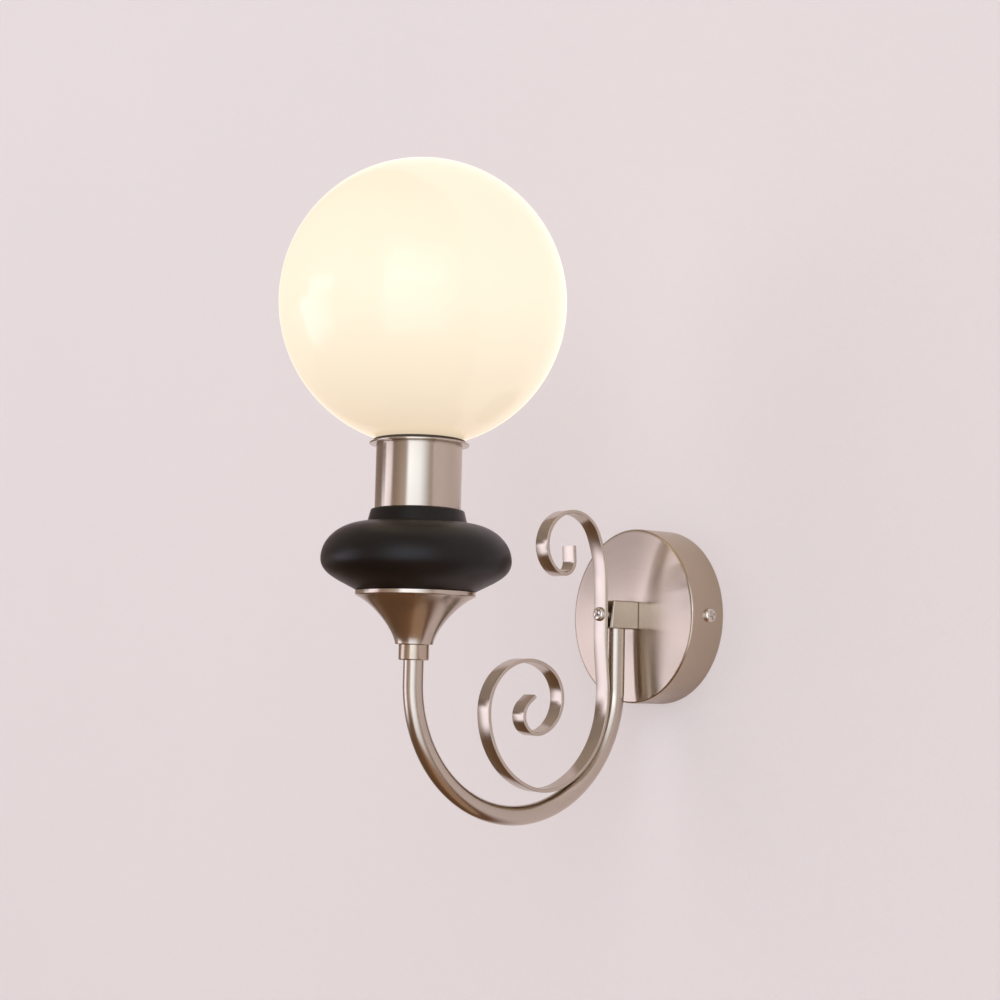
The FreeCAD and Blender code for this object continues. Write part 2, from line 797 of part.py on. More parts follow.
def make_scroll_strap(doc, s):
    """Flat strip, bent into a small scroll above the block and a large one inside the tube."""
    upper = [
        (s.strap_flat.value, 0),
        (s.bow_radius.value, s.upper_bow_turn.value),
        (s.upper_rise.value, 0),
        (s.upper_shoulder_radius.value, s.upper_shoulder_turn.value),
        (s.upper_loop_radius.value, s.upper_loop_turn.value),
        (s.upper_curl_radius.value, s.upper_curl_turn.value),
        (s.upper_tip_radius.value, s.upper_tip_turn.value),
        (s.upper_tip_length.value, 0),
    ]
    lower = [
        (s.strap_flat.value, 0),
        (s.bow_radius.value, s.lower_bow_turn.value),
        (s.lower_fall.value, 0),
        (s.lower_knee_radius.value, -s.lower_knee_turn.value),
        (s.lower_sweep_radius.value, -s.lower_sweep_turn.value),
        (s.lower_foot_radius.value, -s.lower_foot_turn.value),
        (s.lower_back_radius.value, -s.lower_back_turn.value),
        (s.lower_crown_radius.value, -s.lower_crown_turn.value),
        (s.lower_curl_radius.value, -s.lower_curl_turn.value),
        (s.lower_tip_radius.value, -s.lower_tip_turn.value),
        (s.lower_tip_length.value, 0),
    ]
    half = s.strap_thickness.value / 2
    start = Vector(-(s.canopy_depth + s.block_length + s.strap_thickness / 2).value, 0, 0)
    up, down = Vector(0, 1, 0), Vector(0, -1, 0)
    body = new_body(doc, "scroll_strap")
    outline = new_sketch(body, "strap_outline", "YZ_Plane")
    sides = []
    for heading, bends in ((up, upper), (down, lower)):
        for offset in (half, -half):
            side = strip_side(start, heading, bends, offset)
            sides.append(side)
            for edge in side:
                outline.addGeometry(edge, False)
    for one, other in ((sides[0], sides[1]), (sides[2], sides[3])):
        outline.addGeometry(Part.LineSegment(one[-1].EndPoint, other[-1].EndPoint), False)
    pad(body, "strap_strip", outline, s.strap_width, midplane=True)
    hole = new_sketch(body, "strap_hole_outline", "XZ_Plane", lift=s.canopy_depth)
    trace_circle(hole, (ZERO, ZERO), s.screw_radius + s.screw_clearance, "hole")
    reach = s.block_length + s.strap_thickness * 2
    pocket(body, "strap_hole", hole, depth=reach, reverse=True)
    place(body, ZERO, ZERO, ZERO, UPRIGHT)

    screw = pan_screw(
        doc, s, "strap_screw", s.screw_radius, s.screw_head_radius, s.screw_head_height,
        s.strap_screw_length,
    )
    front = s.canopy_depth + s.block_length + s.strap_thickness
    place(screw, ZERO, front - s.strap_screw_length, ZERO, OUTWARDS)


# ---------------------------------------------------------------------------------------------
# Lamp
# ---------------------------------------------------------------------------------------------


def make_ferrule(doc, s, levels):
    """Collar over the tube's end, trapped between the tube and the cup."""
    body = new_body(doc, "tube_ferrule")
    inner = s.tube_radius + s.thread_clearance
    lip = s.rod_radius + s.rod_clearance
    step = s.ferrule_height - s.ferrule_lip
    steps = [
        ("line", (s.ferrule_radius, ZERO)),
        ("line", (s.ferrule_radius, s.ferrule_height)),
        ("line", (lip, s.ferrule_height)),
        ("line", (lip, step)),
        ("line", (inner, step)),
        ("line", (inner, ZERO)),
    ]
    turning = revolve(body, "ferrule_turned", (inner, ZERO), steps)
    low_edge = is_ring(s.ferrule_radius, ZERO)
    round_edges(body, "ferrule_low_edge", turning, low_edge, s.ferrule_fillet)
    return place(body, ZERO, s.lamp_offset, levels.ferrule, UPRIGHT)


def make_threaded_rod(doc, s, levels):
    """Hollow rod from the tube's end up to the lampholder."""
    low = levels.tube_end - s.rod_engagement
    top = levels.holder + s.holder_entry
    rod = ring_body(doc, "threaded_rod", s.rod_radius, s.rod_bore_radius, top - low)
    return place(rod, ZERO, s.lamp_offset, low, UPRIGHT)


def make_cup(doc, s, levels):
    """Spun bell under the wooden body, with a short upright rim."""
    body = new_body(doc, "cup")
    bore = s.rod_radius + s.rod_clearance
    wall = s.cup_wall
    neck, rim = s.cup_neck_radius, s.cup_rim_radius
    bend = s.cup_height - s.cup_rim_height
    flare_height = bend - s.cup_flare_drop
    steps = [
        ("line", (neck, ZERO)),
        ("curve", (neck + wall * 0.3, s.cup_neck_handle), (s.cup_flare_radius, flare_height),
         (rim, bend)),
        ("line", (rim, s.cup_height)),
        ("line", (rim - wall, s.cup_height)),
        ("line", (rim - wall, bend + wall * 0.5)),
        ("curve", (s.cup_flare_radius - wall * 0.9, flare_height + wall * 0.9),
         (neck - wall * 0.7, s.cup_neck_handle), (neck - wall, wall)),
        ("line", (bore, wall)),
        ("line", (bore, ZERO)),
    ]
    revolve(body, "cup_spun", (bore, ZERO), steps)
    return place(body, ZERO, s.lamp_offset, levels.cup, UPRIGHT)


def make_wood_body(doc, s, levels):
    """Turned wooden body, seated in the cup by a short spigot."""
    body = new_body(doc, "wood_body")
    bore = s.rod_radius + s.rod_clearance
    spigot = s.cup_rim_radius - s.cup_wall - s.wood_clearance
    seat = levels.rim - levels.wood
    belly = seat + s.wood_belly_height
    top = seat + s.wood_height
    collar = top - s.wood_collar_height
    foot, widest, shoulder = s.wood_foot_radius, s.wood_radius, s.wood_collar_base_radius
    roundness = 0.5523
    steps = [
        ("line", (spigot, ZERO)),
        ("line", (spigot, seat)),
        ("line", (foot, seat)),
        ("curve", (foot + s.wood_foot_flare, seat + s.wood_foot_rise),
         (widest, seat + s.wood_belly_height * 0.5), (widest, belly)),
        ("curve", (widest, belly + (collar - belly) * roundness),
         (shoulder + (widest - shoulder) * roundness, collar), (shoulder, collar)),
        ("line", (s.wood_collar_radius, top)),
        ("line", (bore, top)),
        ("line", (bore, ZERO)),
    ]
    revolve(body, "wood_turned", (bore, ZERO), steps)
    return place(body, ZERO, s.lamp_offset, levels.wood, UPRIGHT)


def make_socket_cover(doc, s, levels):
    """Metal cup round the lampholder, standing on the wooden body."""
    body = new_body(doc, "socket_cover")
    bore = s.rod_radius + s.rod_clearance
    inner = s.cover_radius - s.cover_wall
    steps = [
        ("line", (s.cover_radius, ZERO)),
        ("line", (s.cover_radius, s.cover_height)),
        ("line", (inner, s.cover_height)),
        ("line", (inner, s.cover_wall)),
        ("line", (bore, s.cover_wall)),
        ("line", (bore, ZERO)),
    ]
    revolve(body, "cover_drawn", (bore, ZERO), steps)
    return place(body, ZERO, s.lamp_offset, levels.wood_top, UPRIGHT)


def make_rod_fasteners(doc, s, levels):
    """Washer and nut that clamp the cup, wood and cover on the rod."""
    washer = ring_body(
        doc, "rod_washer", s.washer_radius, s.rod_radius + s.rod_clearance, s.washer_thickness
    )
    place(washer, ZERO, s.lamp_offset, levels.cover_floor, UPRIGHT)
    nut = hex_nut(doc, s, "rod_nut", s.rod_radius)
    place(nut, ZERO, s.lamp_offset, levels.rod_nut, UPRIGHT)


def make_gallery(doc, s, levels):
    """Plate that carries the globe, the ring that clamps it and the soft ring on it."""
    body = new_body(doc, "gallery_plate")
    hole = s.holder_radius + s.plate_clearance
    lip_outer = s.cover_radius - s.cover_wall - s.plate_clearance
    lip_inner = lip_outer - s.plate_spigot_wall
    spigot_outer = s.globe_hole_radius - s.globe_hole_clearance
    spigot_inner = spigot_outer - s.plate_spigot_wall
    low, high = s.plate_lip, s.plate_lip + s.plate_thickness
    top = high + s.plate_spigot_height
    steps = [
        ("line", (lip_outer, ZERO)),
        ("line", (lip_outer, low)),
        ("line", (s.plate_radius, low)),
        ("line", (s.plate_radius, high)),
        ("line", (spigot_outer, high)),
        ("line", (spigot_outer, top)),
        ("line", (spigot_inner, top)),
        ("line", (spigot_inner, high)),
        ("line", (hole, high)),
        ("line", (hole, low)),
        ("line", (lip_inner, low)),
        ("line", (lip_inner, ZERO)),
    ]
    revolve(body, "gallery_pressed", (lip_inner, ZERO), steps)
    place(body, ZERO, s.lamp_offset, levels.plate - s.plate_lip, UPRIGHT)

    inner = s.holder_radius + s.thread_clearance
    ring = ring_body(doc, "shade_ring", s.ring_radius, inner, s.ring_height)
    place(ring, ZERO, s.lamp_offset, levels.plate_top, UPRIGHT)

    inner = spigot_outer + s.gasket_fit
    gasket = ring_body(doc, "globe_gasket", s.gasket_radius, inner, s.gasket_thickness)
    place(gasket, ZERO, s.lamp_offset, levels.plate_top, UPRIGHT)


def make_lampholder(doc, s, levels):
    """Moulded lampholder with its screw shell and centre contact."""
    body = new_body(doc, "lampholder_body")
    entry = s.rod_radius + s.thread_clearance
    throat = s.shell_radius + s.thread_clearance
    rivet = s.contact_rivet_radius + s.thread_clearance
    chamber_top = s.holder_base + s.holder_chamber_height
    inside = chamber_top + s.holder_floor
    steps = [
        ("line", (s.holder_radius, ZERO)),
        ("line", (s.holder_radius, s.holder_height)),
        ("line", (throat, s.holder_height)),
        ("line", (throat, inside)),
        ("line", (rivet, inside)),
        ("line", (rivet, chamber_top)),
        ("line", (s.holder_chamber_radius, chamber_top)),
        ("line", (s.holder_chamber_radius, s.holder_base)),
        ("line", (entry, s.holder_base)),
        ("line", (entry, ZERO)),
    ]
    revolve(body, "holder_moulded", (entry, ZERO), steps)
    place(body, ZERO, s.lamp_offset, levels.holder, UPRIGHT)

    shell = ring_body(
        doc, "thread_shell", s.shell_radius, s.shell_radius - s.shell_wall, s.shell_height
    )
    place(shell, ZERO, s.lamp_offset, levels.holder_inside, UPRIGHT)

    contact = new_body(doc, "centre_contact")
    head = s.holder_floor + s.contact_thickness
    steps = [
        ("line", (s.contact_rivet_radius, ZERO)),
        ("line", (s.contact_rivet_radius, s.holder_floor)),
        ("line", (s.contact_radius, s.holder_floor)),
        ("line", (s.contact_radius, head)),
        ("line", (ZERO, head)),
        ("line", (ZERO, ZERO)),
    ]
    revolve(contact, "contact_turned", (ZERO, ZERO), steps)
    place(contact, ZERO, s.lamp_offset, levels.holder_inside - s.holder_floor, UPRIGHT)


def make_globe(doc, s, levels):
    """Blown opal globe with one round hole that sits over the gallery's spigot."""
    body = new_body(doc, "globe")
    for kind, name, radius in (
        ("PartDesign::AdditiveSphere", "globe_outside", s.globe_radius),
        ("PartDesign::SubtractiveSphere", "globe_inside", s.globe_radius - s.globe_wall),
    ):
        ball = body.newObject(kind, name)
        ball.Radius = radius.value
        ball.setExpression("Radius", radius.text)
        doc.recompute()
    mouth = new_sketch(body, "globe_mouth_outline", "XY_Plane")
    trace_circle(mouth, (ZERO, ZERO), s.globe_hole_radius, "mouth")
    pocket(body, "globe_mouth", mouth, depth=s.globe_radius)
    return place(body, ZERO, s.lamp_offset, levels.globe, UPRIGHT)


def make_bulb(doc, s, levels):
    """Candle bulb: contact, insulator, screw cap, housing and diffuser."""
    contact = new_body(doc, "bulb_contact")
    bevel = s.bulb_contact_height / 3
    steps = [
        ("line", (s.bulb_contact_radius - bevel, ZERO)),
        ("line", (s.bulb_contact_radius, bevel)),
        ("line", (s.bulb_contact_radius, s.bulb_contact_height)),
        ("line", (ZERO, s.bulb_contact_height)),
        ("line", (ZERO, ZERO)),
    ]
    revolve(contact, "bulb_contact_turned", (ZERO, ZERO), steps)
    place(contact, ZERO, s.lamp_offset, levels.bulb, UPRIGHT)

    insulator = new_body(doc, "bulb_insulator")
    steps = [
        ("line", (s.bulb_contact_radius + bevel * 3, ZERO)),
        ("line", (s.bulb_insulator_radius, s.bulb_insulator_height)),
        ("line", (ZERO, s.bulb_insulator_height)),
        ("line", (ZERO, ZERO)),
    ]
    revolve(insulator, "bulb_insulator_moulded", (ZERO, ZERO), steps)
    insulator_level = levels.bulb + s.bulb_contact_height
    place(insulator, ZERO, s.lamp_offset, insulator_level, UPRIGHT)

    cap_level = insulator_level + s.bulb_insulator_height
    cap_inner = s.bulb_cap_radius - s.bulb_cap_wall
    cap = new_body(doc, "bulb_cap")
    low_inner = s.bulb_insulator_radius - s.bulb_cap_wall
    steps = [
        ("line", (s.bulb_insulator_radius, ZERO)),
        ("line", (s.bulb_cap_radius, s.bulb_cap_wall * 2)),
        ("line", (s.bulb_cap_radius, s.bulb_cap_height)),
        ("line", (cap_inner, s.bulb_cap_height)),
        ("line", (cap_inner, s.bulb_cap_wall * 2)),
        ("line", (low_inner, s.bulb_cap_wall)),
        ("line", (low_inner, ZERO)),
    ]
    revolve(cap, "bulb_cap_rolled", (low_inner, ZERO), steps)
    place(cap, ZERO, s.lamp_offset, cap_level, UPRIGHT)

    housing = new_body(doc, "bulb_housing")
    plug = cap_inner - s.thread_clearance
    neck, widest = s.bulb_neck_radius, s.bulb_radius
    base, top = s.bulb_plug_height, s.bulb_plug_height + s.bulb_housing_height
    steps = [
        ("line", (plug, ZERO)),
        ("line", (plug, base)),
        ("line", (neck, base)),
        ("curve", (neck + (widest - neck) * 0.35, base + s.bulb_housing_height * 0.45),
         (widest, base + s.bulb_housing_height * 0.7), (widest, top)),
        ("line", (ZERO, top)),
        ("line", (ZERO, ZERO)),
    ]
    revolve(housing, "bulb_housing_moulded", (ZERO, ZERO), steps)
    housing_level = cap_level + s.bulb_cap_height - s.bulb_plug_height
    place(housing, ZERO, s.lamp_offset, housing_level, UPRIGHT)

    diffuser = new_body(doc, "bulb_diffuser")
    tall, wall = s.bulb_diffuser_height, s.bulb_diffuser_wall
    waist = (widest * 0.5, tall * 0.83)
    inner_waist = (widest * 0.5 - wall, tall * 0.83 - wall * 0.5)
    steps = [
        ("line", (widest, ZERO)),
        ("curve", (widest * 1.05, tall * 0.28), (widest * 0.95, tall * 0.6), waist),
        ("curve", (widest * 0.32, tall * 0.92), (widest * 0.17, tall), (ZERO, tall)),
        ("line", (ZERO, tall - wall)),
        ("curve", (widest * 0.17 - wall * 0.5, tall - wall),
         (widest * 0.32 - wall, tall * 0.92 - wall * 0.5), inner_waist),
        ("curve", (widest * 0.95 - wall, tall * 0.6), (widest * 1.05 - wall, tall * 0.28),
         (widest - wall, ZERO)),
    ]
    revolve(diffuser, "bulb_diffuser_blown", (widest - wall, ZERO), steps)
    place(diffuser, ZERO, s.lamp_offset, housing_level + top, UPRIGHT)


# ---------------------------------------------------------------------------------------------
# Check and write
# ---------------------------------------------------------------------------------------------


def write_parts(doc):
    """Check every object and write each body under its own name."""
    doc.recompute()
    for item in doc.Objects:
        if "Invalid" in item.State or "Error" in item.State:
            raise RuntimeError("%s failed: %s" % (item.Name, item.State))
    os.makedirs("parts", exist_ok=True)
    for item in doc.Objects:
        if item.TypeId != "PartDesign::Body":
            continue
        shape = item.Shape
        if shape.isNull() or not shape.isValid() or len(shape.Solids) != 1:
            raise RuntimeError("%s has no sound solid" % item.Label)
        shape.exportStep(os.path.join("parts", item.Label + ".step"))


def main():
    """Build the sconce."""
    doc = FreeCAD.newDocument("globe_wall_sconce")
    s = Sheet(doc)
    levels = Levels(s)
    make_canopy_cover(doc, s)
    make_wall_bracket(doc, s)
    make_side_screws(doc, s)
    make_terminal_block(doc, s)
    make_earth_screw(doc, s)
    make_arm_block(doc, s)
    make_stud_set(doc, s)
    make_arm_tube(doc, s, levels)
    make_scroll_strap(doc, s)
    make_ferrule(doc, s, levels)
    make_threaded_rod(doc, s, levels)
    make_cup(doc, s, levels)
    make_wood_body(doc, s, levels)
    make_socket_cover(doc, s, levels)
    make_rod_fasteners(doc, s, levels)
    make_gallery(doc, s, levels)
    make_lampholder(doc, s, levels)
    make_globe(doc, s, levels)
    make_bulb(doc, s, levels)
    write_parts(doc)


main()
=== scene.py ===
"""Looks of a globe wall sconce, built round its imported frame.

The light stands out from the wall towards -Y, and every length is in metres.
"""

from __future__ import annotations

import logging
import math
from dataclasses import dataclass
from enum import Enum
from typing import Callable, Sequence

import bmesh
import bpy
from mathutils import Matrix, Vector

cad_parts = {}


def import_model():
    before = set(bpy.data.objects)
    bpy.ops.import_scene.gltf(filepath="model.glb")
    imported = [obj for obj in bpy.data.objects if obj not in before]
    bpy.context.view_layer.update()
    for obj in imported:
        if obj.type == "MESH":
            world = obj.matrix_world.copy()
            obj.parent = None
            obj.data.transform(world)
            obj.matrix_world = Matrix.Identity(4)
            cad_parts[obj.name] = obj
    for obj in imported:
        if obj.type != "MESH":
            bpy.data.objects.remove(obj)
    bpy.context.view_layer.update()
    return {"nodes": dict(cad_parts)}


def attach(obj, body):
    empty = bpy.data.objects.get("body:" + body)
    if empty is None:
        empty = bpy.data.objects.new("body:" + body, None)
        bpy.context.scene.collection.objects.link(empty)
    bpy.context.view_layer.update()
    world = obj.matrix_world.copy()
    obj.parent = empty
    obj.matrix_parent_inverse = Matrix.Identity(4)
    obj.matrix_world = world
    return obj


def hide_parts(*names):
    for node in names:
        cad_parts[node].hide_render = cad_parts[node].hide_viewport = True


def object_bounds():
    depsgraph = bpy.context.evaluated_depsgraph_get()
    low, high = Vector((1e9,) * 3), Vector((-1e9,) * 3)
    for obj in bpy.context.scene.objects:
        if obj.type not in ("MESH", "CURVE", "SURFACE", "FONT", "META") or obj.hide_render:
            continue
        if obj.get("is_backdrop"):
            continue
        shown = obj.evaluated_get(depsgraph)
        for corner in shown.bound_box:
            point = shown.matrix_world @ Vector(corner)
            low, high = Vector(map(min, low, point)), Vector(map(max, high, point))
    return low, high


log = logging.getLogger("sconce")

MM = 0.001
BRUSH_MAP = "brushing"
Colour = tuple[float, float, float]
Point2 = tuple[float, float]
Point3 = tuple[float, float, float]


class Body(str, Enum):
    """Bodies of the frame that the pieces ride on."""

    FIXTURE = "fixture"
    GLOBE = "globe"
    BULB = "bulb"


# --------------------------------------------------------------------------------------------
# Shader helpers
# --------------------------------------------------------------------------------------------


def linear(red: float, green: float, blue: float) -> Colour:
    """Turn a colour on the 0 to 255 scale into linear light.

    Args:
        red: Red as it is seen on a screen.
        green: Green as it is seen on a screen.
        blue: Blue as it is seen on a screen.

    Returns:
        The three linear values.
    """

    def one(value: float) -> float:
        """Return one channel in linear light."""
        share = value / 255.0
        return share / 12.92 if share <= 0.04045 else ((share + 0.055) / 1.055) ** 2.4

    return one(red), one(green), one(blue)


class Wiring:
    """A node tree with short calls to add and join its nodes."""

    def __init__(self, tree: bpy.types.NodeTree) -> None:
        """Keep the tree that the nodes go into."""
        self.tree = tree

    def add(self, kind: str, values: dict | None = None, **settings: object) -> bpy.types.Node:
        """Add one node.

        Args:
            kind: Type name of the node.
            values: Input values by socket name or number.
            settings: Properties of the node.

        Returns:
            The new node.
        """
        node = self.tree.nodes.new(kind)
        for name, value in settings.items():
            setattr(node, name, value)
        for name, value in (values or {}).items():
            socket = node.inputs[name]
            if isinstance(value, bpy.types.NodeSocket):
                self.tree.links.new(value, socket)
            else:
                socket.default_value = value
        return node

    def math(self, operation: str, first: object, second: object = 0.0) -> bpy.types.NodeSocket:
        """Return the result of a math node on two numbers or sockets."""
        node = self.add("ShaderNodeMath", {0: first, 1: second}, operation=operation)
        return node.outputs[0]

    def span(
        self, value: bpy.types.NodeSocket, low: float, high: float, start: float, end: float
    ) -> bpy.types.NodeSocket:
        """Map a value from one range to another and hold it there.

        Args:
            value: Socket to read.
            low: Value that gives start.
            high: Value that gives end.
            start: Result at low.
            end: Result at high.

        Returns:
            The result's socket.
        """
        node = self.add(
            "ShaderNodeMapRange",
            {"Value": value, "From Min": low, "From Max": high, "To Min": start, "To Max": end},
        )
        return node.outputs["Result"]

    def mix(
        self, share: object, first: object, second: object, blend: str = "MIX"
    ) -> bpy.types.NodeSocket:
        """Mix two colours.

        Args:
            share: How much of the second colour shows.
            first: First colour or its socket.
            second: Second colour or its socket.
            blend: Way of mixing.

        Returns:
            The mixed colour's socket.
        """
        node = self.add("ShaderNodeMix", data_type="RGBA", blend_type=blend)
        for socket, value in zip((node.inputs[0], node.inputs[6], node.inputs[7]),
                                 (share, first, second)):
            if isinstance(value, bpy.types.NodeSocket):
                self.tree.links.new(value, socket)
            elif isinstance(value, tuple):
                socket.default_value = (*value, 1.0)
            else:
                socket.default_value = value
        return node.outputs[2]


def effect_group(
    name: str, inputs: Sequence[tuple[str, str, object]], outputs: Sequence[tuple[str, str]],
    fill: Callable[[Wiring, bpy.types.Node, bpy.types.Node], None],
) -> bpy.types.NodeTree:
    """Build a shader node group once and return it each time.

    Args:
        name: Name of the group.
        inputs: Name, socket type and value of each input.
        outputs: Name and socket type of each output.
        fill: Adds the nodes between the group's input and output nodes.

    Returns:
        The node group.
    """
    found = bpy.data.node_groups.get(name)
    if found:
        return found
    tree = bpy.data.node_groups.new(name, "ShaderNodeTree")
    for label, kind, value in inputs:
        socket = tree.interface.new_socket(label, in_out="INPUT", socket_type=kind)
        if value is not None:
            socket.default_value = value
    for label, kind in outputs:
        tree.interface.new_socket(label, in_out="OUTPUT", socket_type=kind)
    wiring = Wiring(tree)
    fill(wiring, wiring.add("NodeGroupInput"), wiring.add("NodeGroupOutput"))
    return tree


def fill_brush_lines(w: Wiring, given: bpy.types.Node, out: bpy.types.Node) -> None:
    """Make fine lines that run along X of the coordinates and vary across Y and Z.

    Args:
        w: The group's tree.
        given: The group's input node.
        out: The group's output node.
    """
    stretch = w.add("ShaderNodeCombineXYZ", {0: given.outputs["Along"],
                                             1: given.outputs["Across"],
                                             2: given.outputs["Across"]})
    fine_place = w.add("ShaderNodeVectorMath", {0: given.outputs["Coordinates"],
                                                1: stretch.outputs[0]}, operation="MULTIPLY")
    fine = w.add("ShaderNodeTexNoise", {"Vector": fine_place.outputs[0], "Scale": 1.0,
                                        "Detail": 4.0, "Roughness": 0.65})
    broad_place = w.add("ShaderNodeVectorMath", {0: fine_place.outputs[0],
                                                 1: (0.5, 0.3, 0.3)}, operation="MULTIPLY")
    broad = w.add("ShaderNodeTexNoise", {"Vector": broad_place.outputs[0], "Scale": 1.0,
                                         "Detail": 2.0, "Roughness": 0.5})
    sharp = w.span(fine.outputs[0], 0.3, 0.7, 0.0, 1.0)
    weighted = w.math("MULTIPLY_ADD", broad.outputs[0], 0.4)
    w.tree.links.new(w.math("MULTIPLY", sharp, 0.6), weighted.node.inputs[2])
    w.tree.links.new(weighted, out.inputs["Lines"])
    w.tree.links.new(sharp, out.inputs["Height"])


def brush_lines() -> bpy.types.NodeTree:
    """Return the group that gives the fine lines of brushing or turning."""
    return effect_group(
        "brush_lines",
        [("Coordinates", "NodeSocketVector", None), ("Along", "NodeSocketFloat", 40.0),
         ("Across", "NodeSocketFloat", 6000.0)],
        [("Lines", "NodeSocketFloat"), ("Height", "NodeSocketFloat")],
        fill_brush_lines,
    )


def fill_edge_wear(w: Wiring, given: bpy.types.Node, out: bpy.types.Node) -> None:
    """Mark the outer edges, broken up by a coarse pattern.

    Args:
        w: The group's tree.
        given: The group's input node.
        out: The group's output node.
    """
    shape = w.add("ShaderNodeNewGeometry")
    edge = w.span(shape.outputs["Pointiness"], 0.5, 0.6, 0.0, 1.0)
    place = w.add("ShaderNodeTexCoord")
    patches = w.add("ShaderNodeTexNoise", {"Vector": place.outputs["Object"],
                                           "Scale": given.outputs["Patch Scale"], "Detail": 3.0})
    broken = w.span(patches.outputs[0], 0.35, 0.65, 0.35, 1.0)
    amount = w.math("MULTIPLY", w.math("MULTIPLY", edge, broken), given.outputs["Amount"])
    w.tree.links.new(amount, out.inputs["Wear"])


def edge_wear() -> bpy.types.NodeTree:
    """Return the group that marks worn, polished edges."""
    return effect_group(
        "edge_wear",
        [("Amount", "NodeSocketFloat", 1.0), ("Patch Scale", "NodeSocketFloat", 140.0)],
        [("Wear", "NodeSocketFloat")],
        fill_edge_wear,
    )


def fill_handling(w: Wiring, given: bpy.types.Node, out: bpy.types.Node) -> None:
    """Make soft patches, as handling and dust leave them.

    Args:
        w: The group's tree.
        given: The group's input node.
        out: The group's output node.
    """
    place = w.add("ShaderNodeTexCoord")
    soft = w.add("ShaderNodeTexNoise", {"Vector": place.outputs["Object"],
                                        "Scale": given.outputs["Patch Scale"],
                                        "Detail": 3.0, "Roughness": 0.55})
    grit = w.add("ShaderNodeTexNoise", {"Vector": place.outputs["Object"],
                                        "Scale": given.outputs["Grit Scale"],
                                        "Detail": 2.0, "Roughness": 0.6})
    w.tree.links.new(w.span(soft.outputs[0], 0.3, 0.7, -1.0, 1.0), out.inputs["Patches"])
    w.tree.links.new(w.span(grit.outputs[0], 0.3, 0.7, -1.0, 1.0), out.inputs["Grit"])


def handling() -> bpy.types.NodeTree:
    """Return the group that gives soft patches and fine grit from -1 to 1."""
    return effect_group(
        "handling",
        [("Patch Scale", "NodeSocketFloat", 30.0), ("Grit Scale", "NodeSocketFloat", 1500.0)],
        [("Patches", "NodeSocketFloat"), ("Grit", "NodeSocketFloat")],
        fill_handling,
    )


class MaterialSheet(Wiring):
    """One material's node tree with its Principled shader and output."""

    def __init__(self, name: str, constants: dict) -> None:
        """Start a material.

        Args:
            name: Name of the material.
            constants: Values for the shader's own sockets.
        """
        self.material = bpy.data.materials.new(name)
        self.material.use_nodes = True
        self.material.node_tree.nodes.clear()
        super().__init__(self.material.node_tree)
        self.shader = self.add("ShaderNodeBsdfPrincipled", constants)
        self.output = self.add("ShaderNodeOutputMaterial", {"Surface": self.shader.outputs[0]})

    def group(self, tree: bpy.types.NodeTree, values: dict) -> bpy.types.Node:
        """Place a group in the material and set its values.

        Args:
            tree: The shader node group.
            values: Input values by name.

        Returns:
            The group's node.
        """
        return self.add("ShaderNodeGroup", values, node_tree=tree)

    def feed(self, socket: str, source: bpy.types.NodeSocket) -> None:
        """Join a source to one of the shader's sockets."""
        self.tree.links.new(source, self.shader.inputs[socket])

    def bump(self, height: bpy.types.NodeSocket, depth: float, strength: float = 1.0) -> None:
        """Feed the shader's normal from a height.

        Args:
            height: Socket of the height from 0 to 1.
            depth: Height in metres that 1 stands for.
            strength: Share of the effect.
        """
        node = self.add("ShaderNodeBump", {"Height": height, "Distance": depth,
                                           "Strength": strength})
        self.feed("Normal", node.outputs[0])


# --------------------------------------------------------------------------------------------
# Finishes
# --------------------------------------------------------------------------------------------


class Finish:
    """A finish whose material is made on first use."""

    name: str

    def build(self) -> bpy.types.Material:
        """Return the material, made on first use."""
        return bpy.data.materials.get(self.name) or self.make()

    def make(self) -> bpy.types.Material:
        """Make the material."""
        raise NotImplementedError


@dataclass(frozen=True)
class BrushedMetal(Finish):
    """Brushed or turned metal that reads the brushing map for its lines."""

    name: str
    colour: Colour
    tint: Colour
    roughness: float = 0.27
    spread: float = 0.04
    stretch: float = 0.65
    along: float = 12.0
    across: float = 4200.0
    depth: float = 0.0012 * MM
    wear: float = 0.4

    def make(self) -> bpy.types.Material:
        """Make the material."""
        sheet = MaterialSheet(self.name, {
            "Metallic": 1.0, "Anisotropic": self.stretch, "Anisotropic Rotation": 0.25,
        })
        uv = sheet.add("ShaderNodeUVMap", uv_map=BRUSH_MAP)
        lines = sheet.group(brush_lines(), {"Coordinates": uv.outputs[0], "Along": self.along,
                                            "Across": self.across})
        marks = sheet.group(handling(), {"Patch Scale": 22.0, "Grit Scale": 900.0})
        worn = sheet.group(edge_wear(), {"Amount": self.wear, "Patch Scale": 160.0})
        base = sheet.mix(sheet.span(lines.outputs["Lines"], 0.25, 0.75, 0.0, 1.0),
                         self.colour, self.tint)
        bright = tuple(min(1.0, c * 1.12) for c in self.colour)
        sheet.feed("Base Color", sheet.mix(worn.outputs["Wear"], base, bright))
        rough = sheet.span(lines.outputs["Lines"], 0.25, 0.75,
                           self.roughness - self.spread, self.roughness + self.spread)
        rough = sheet.math("ADD", rough, sheet.math("MULTIPLY", marks.outputs["Patches"], 0.01))
        rough = sheet.math("SUBTRACT", rough, sheet.math("MULTIPLY", worn.outputs["Wear"], 0.07))
        sheet.feed("Roughness", rough)
        sheet.bump(lines.outputs["Height"], self.depth)
        tangent = sheet.add("ShaderNodeTangent", direction_type="UV_MAP", uv_map=BRUSH_MAP)
        sheet.feed("Tangent", tangent.outputs[0])
        return sheet.material


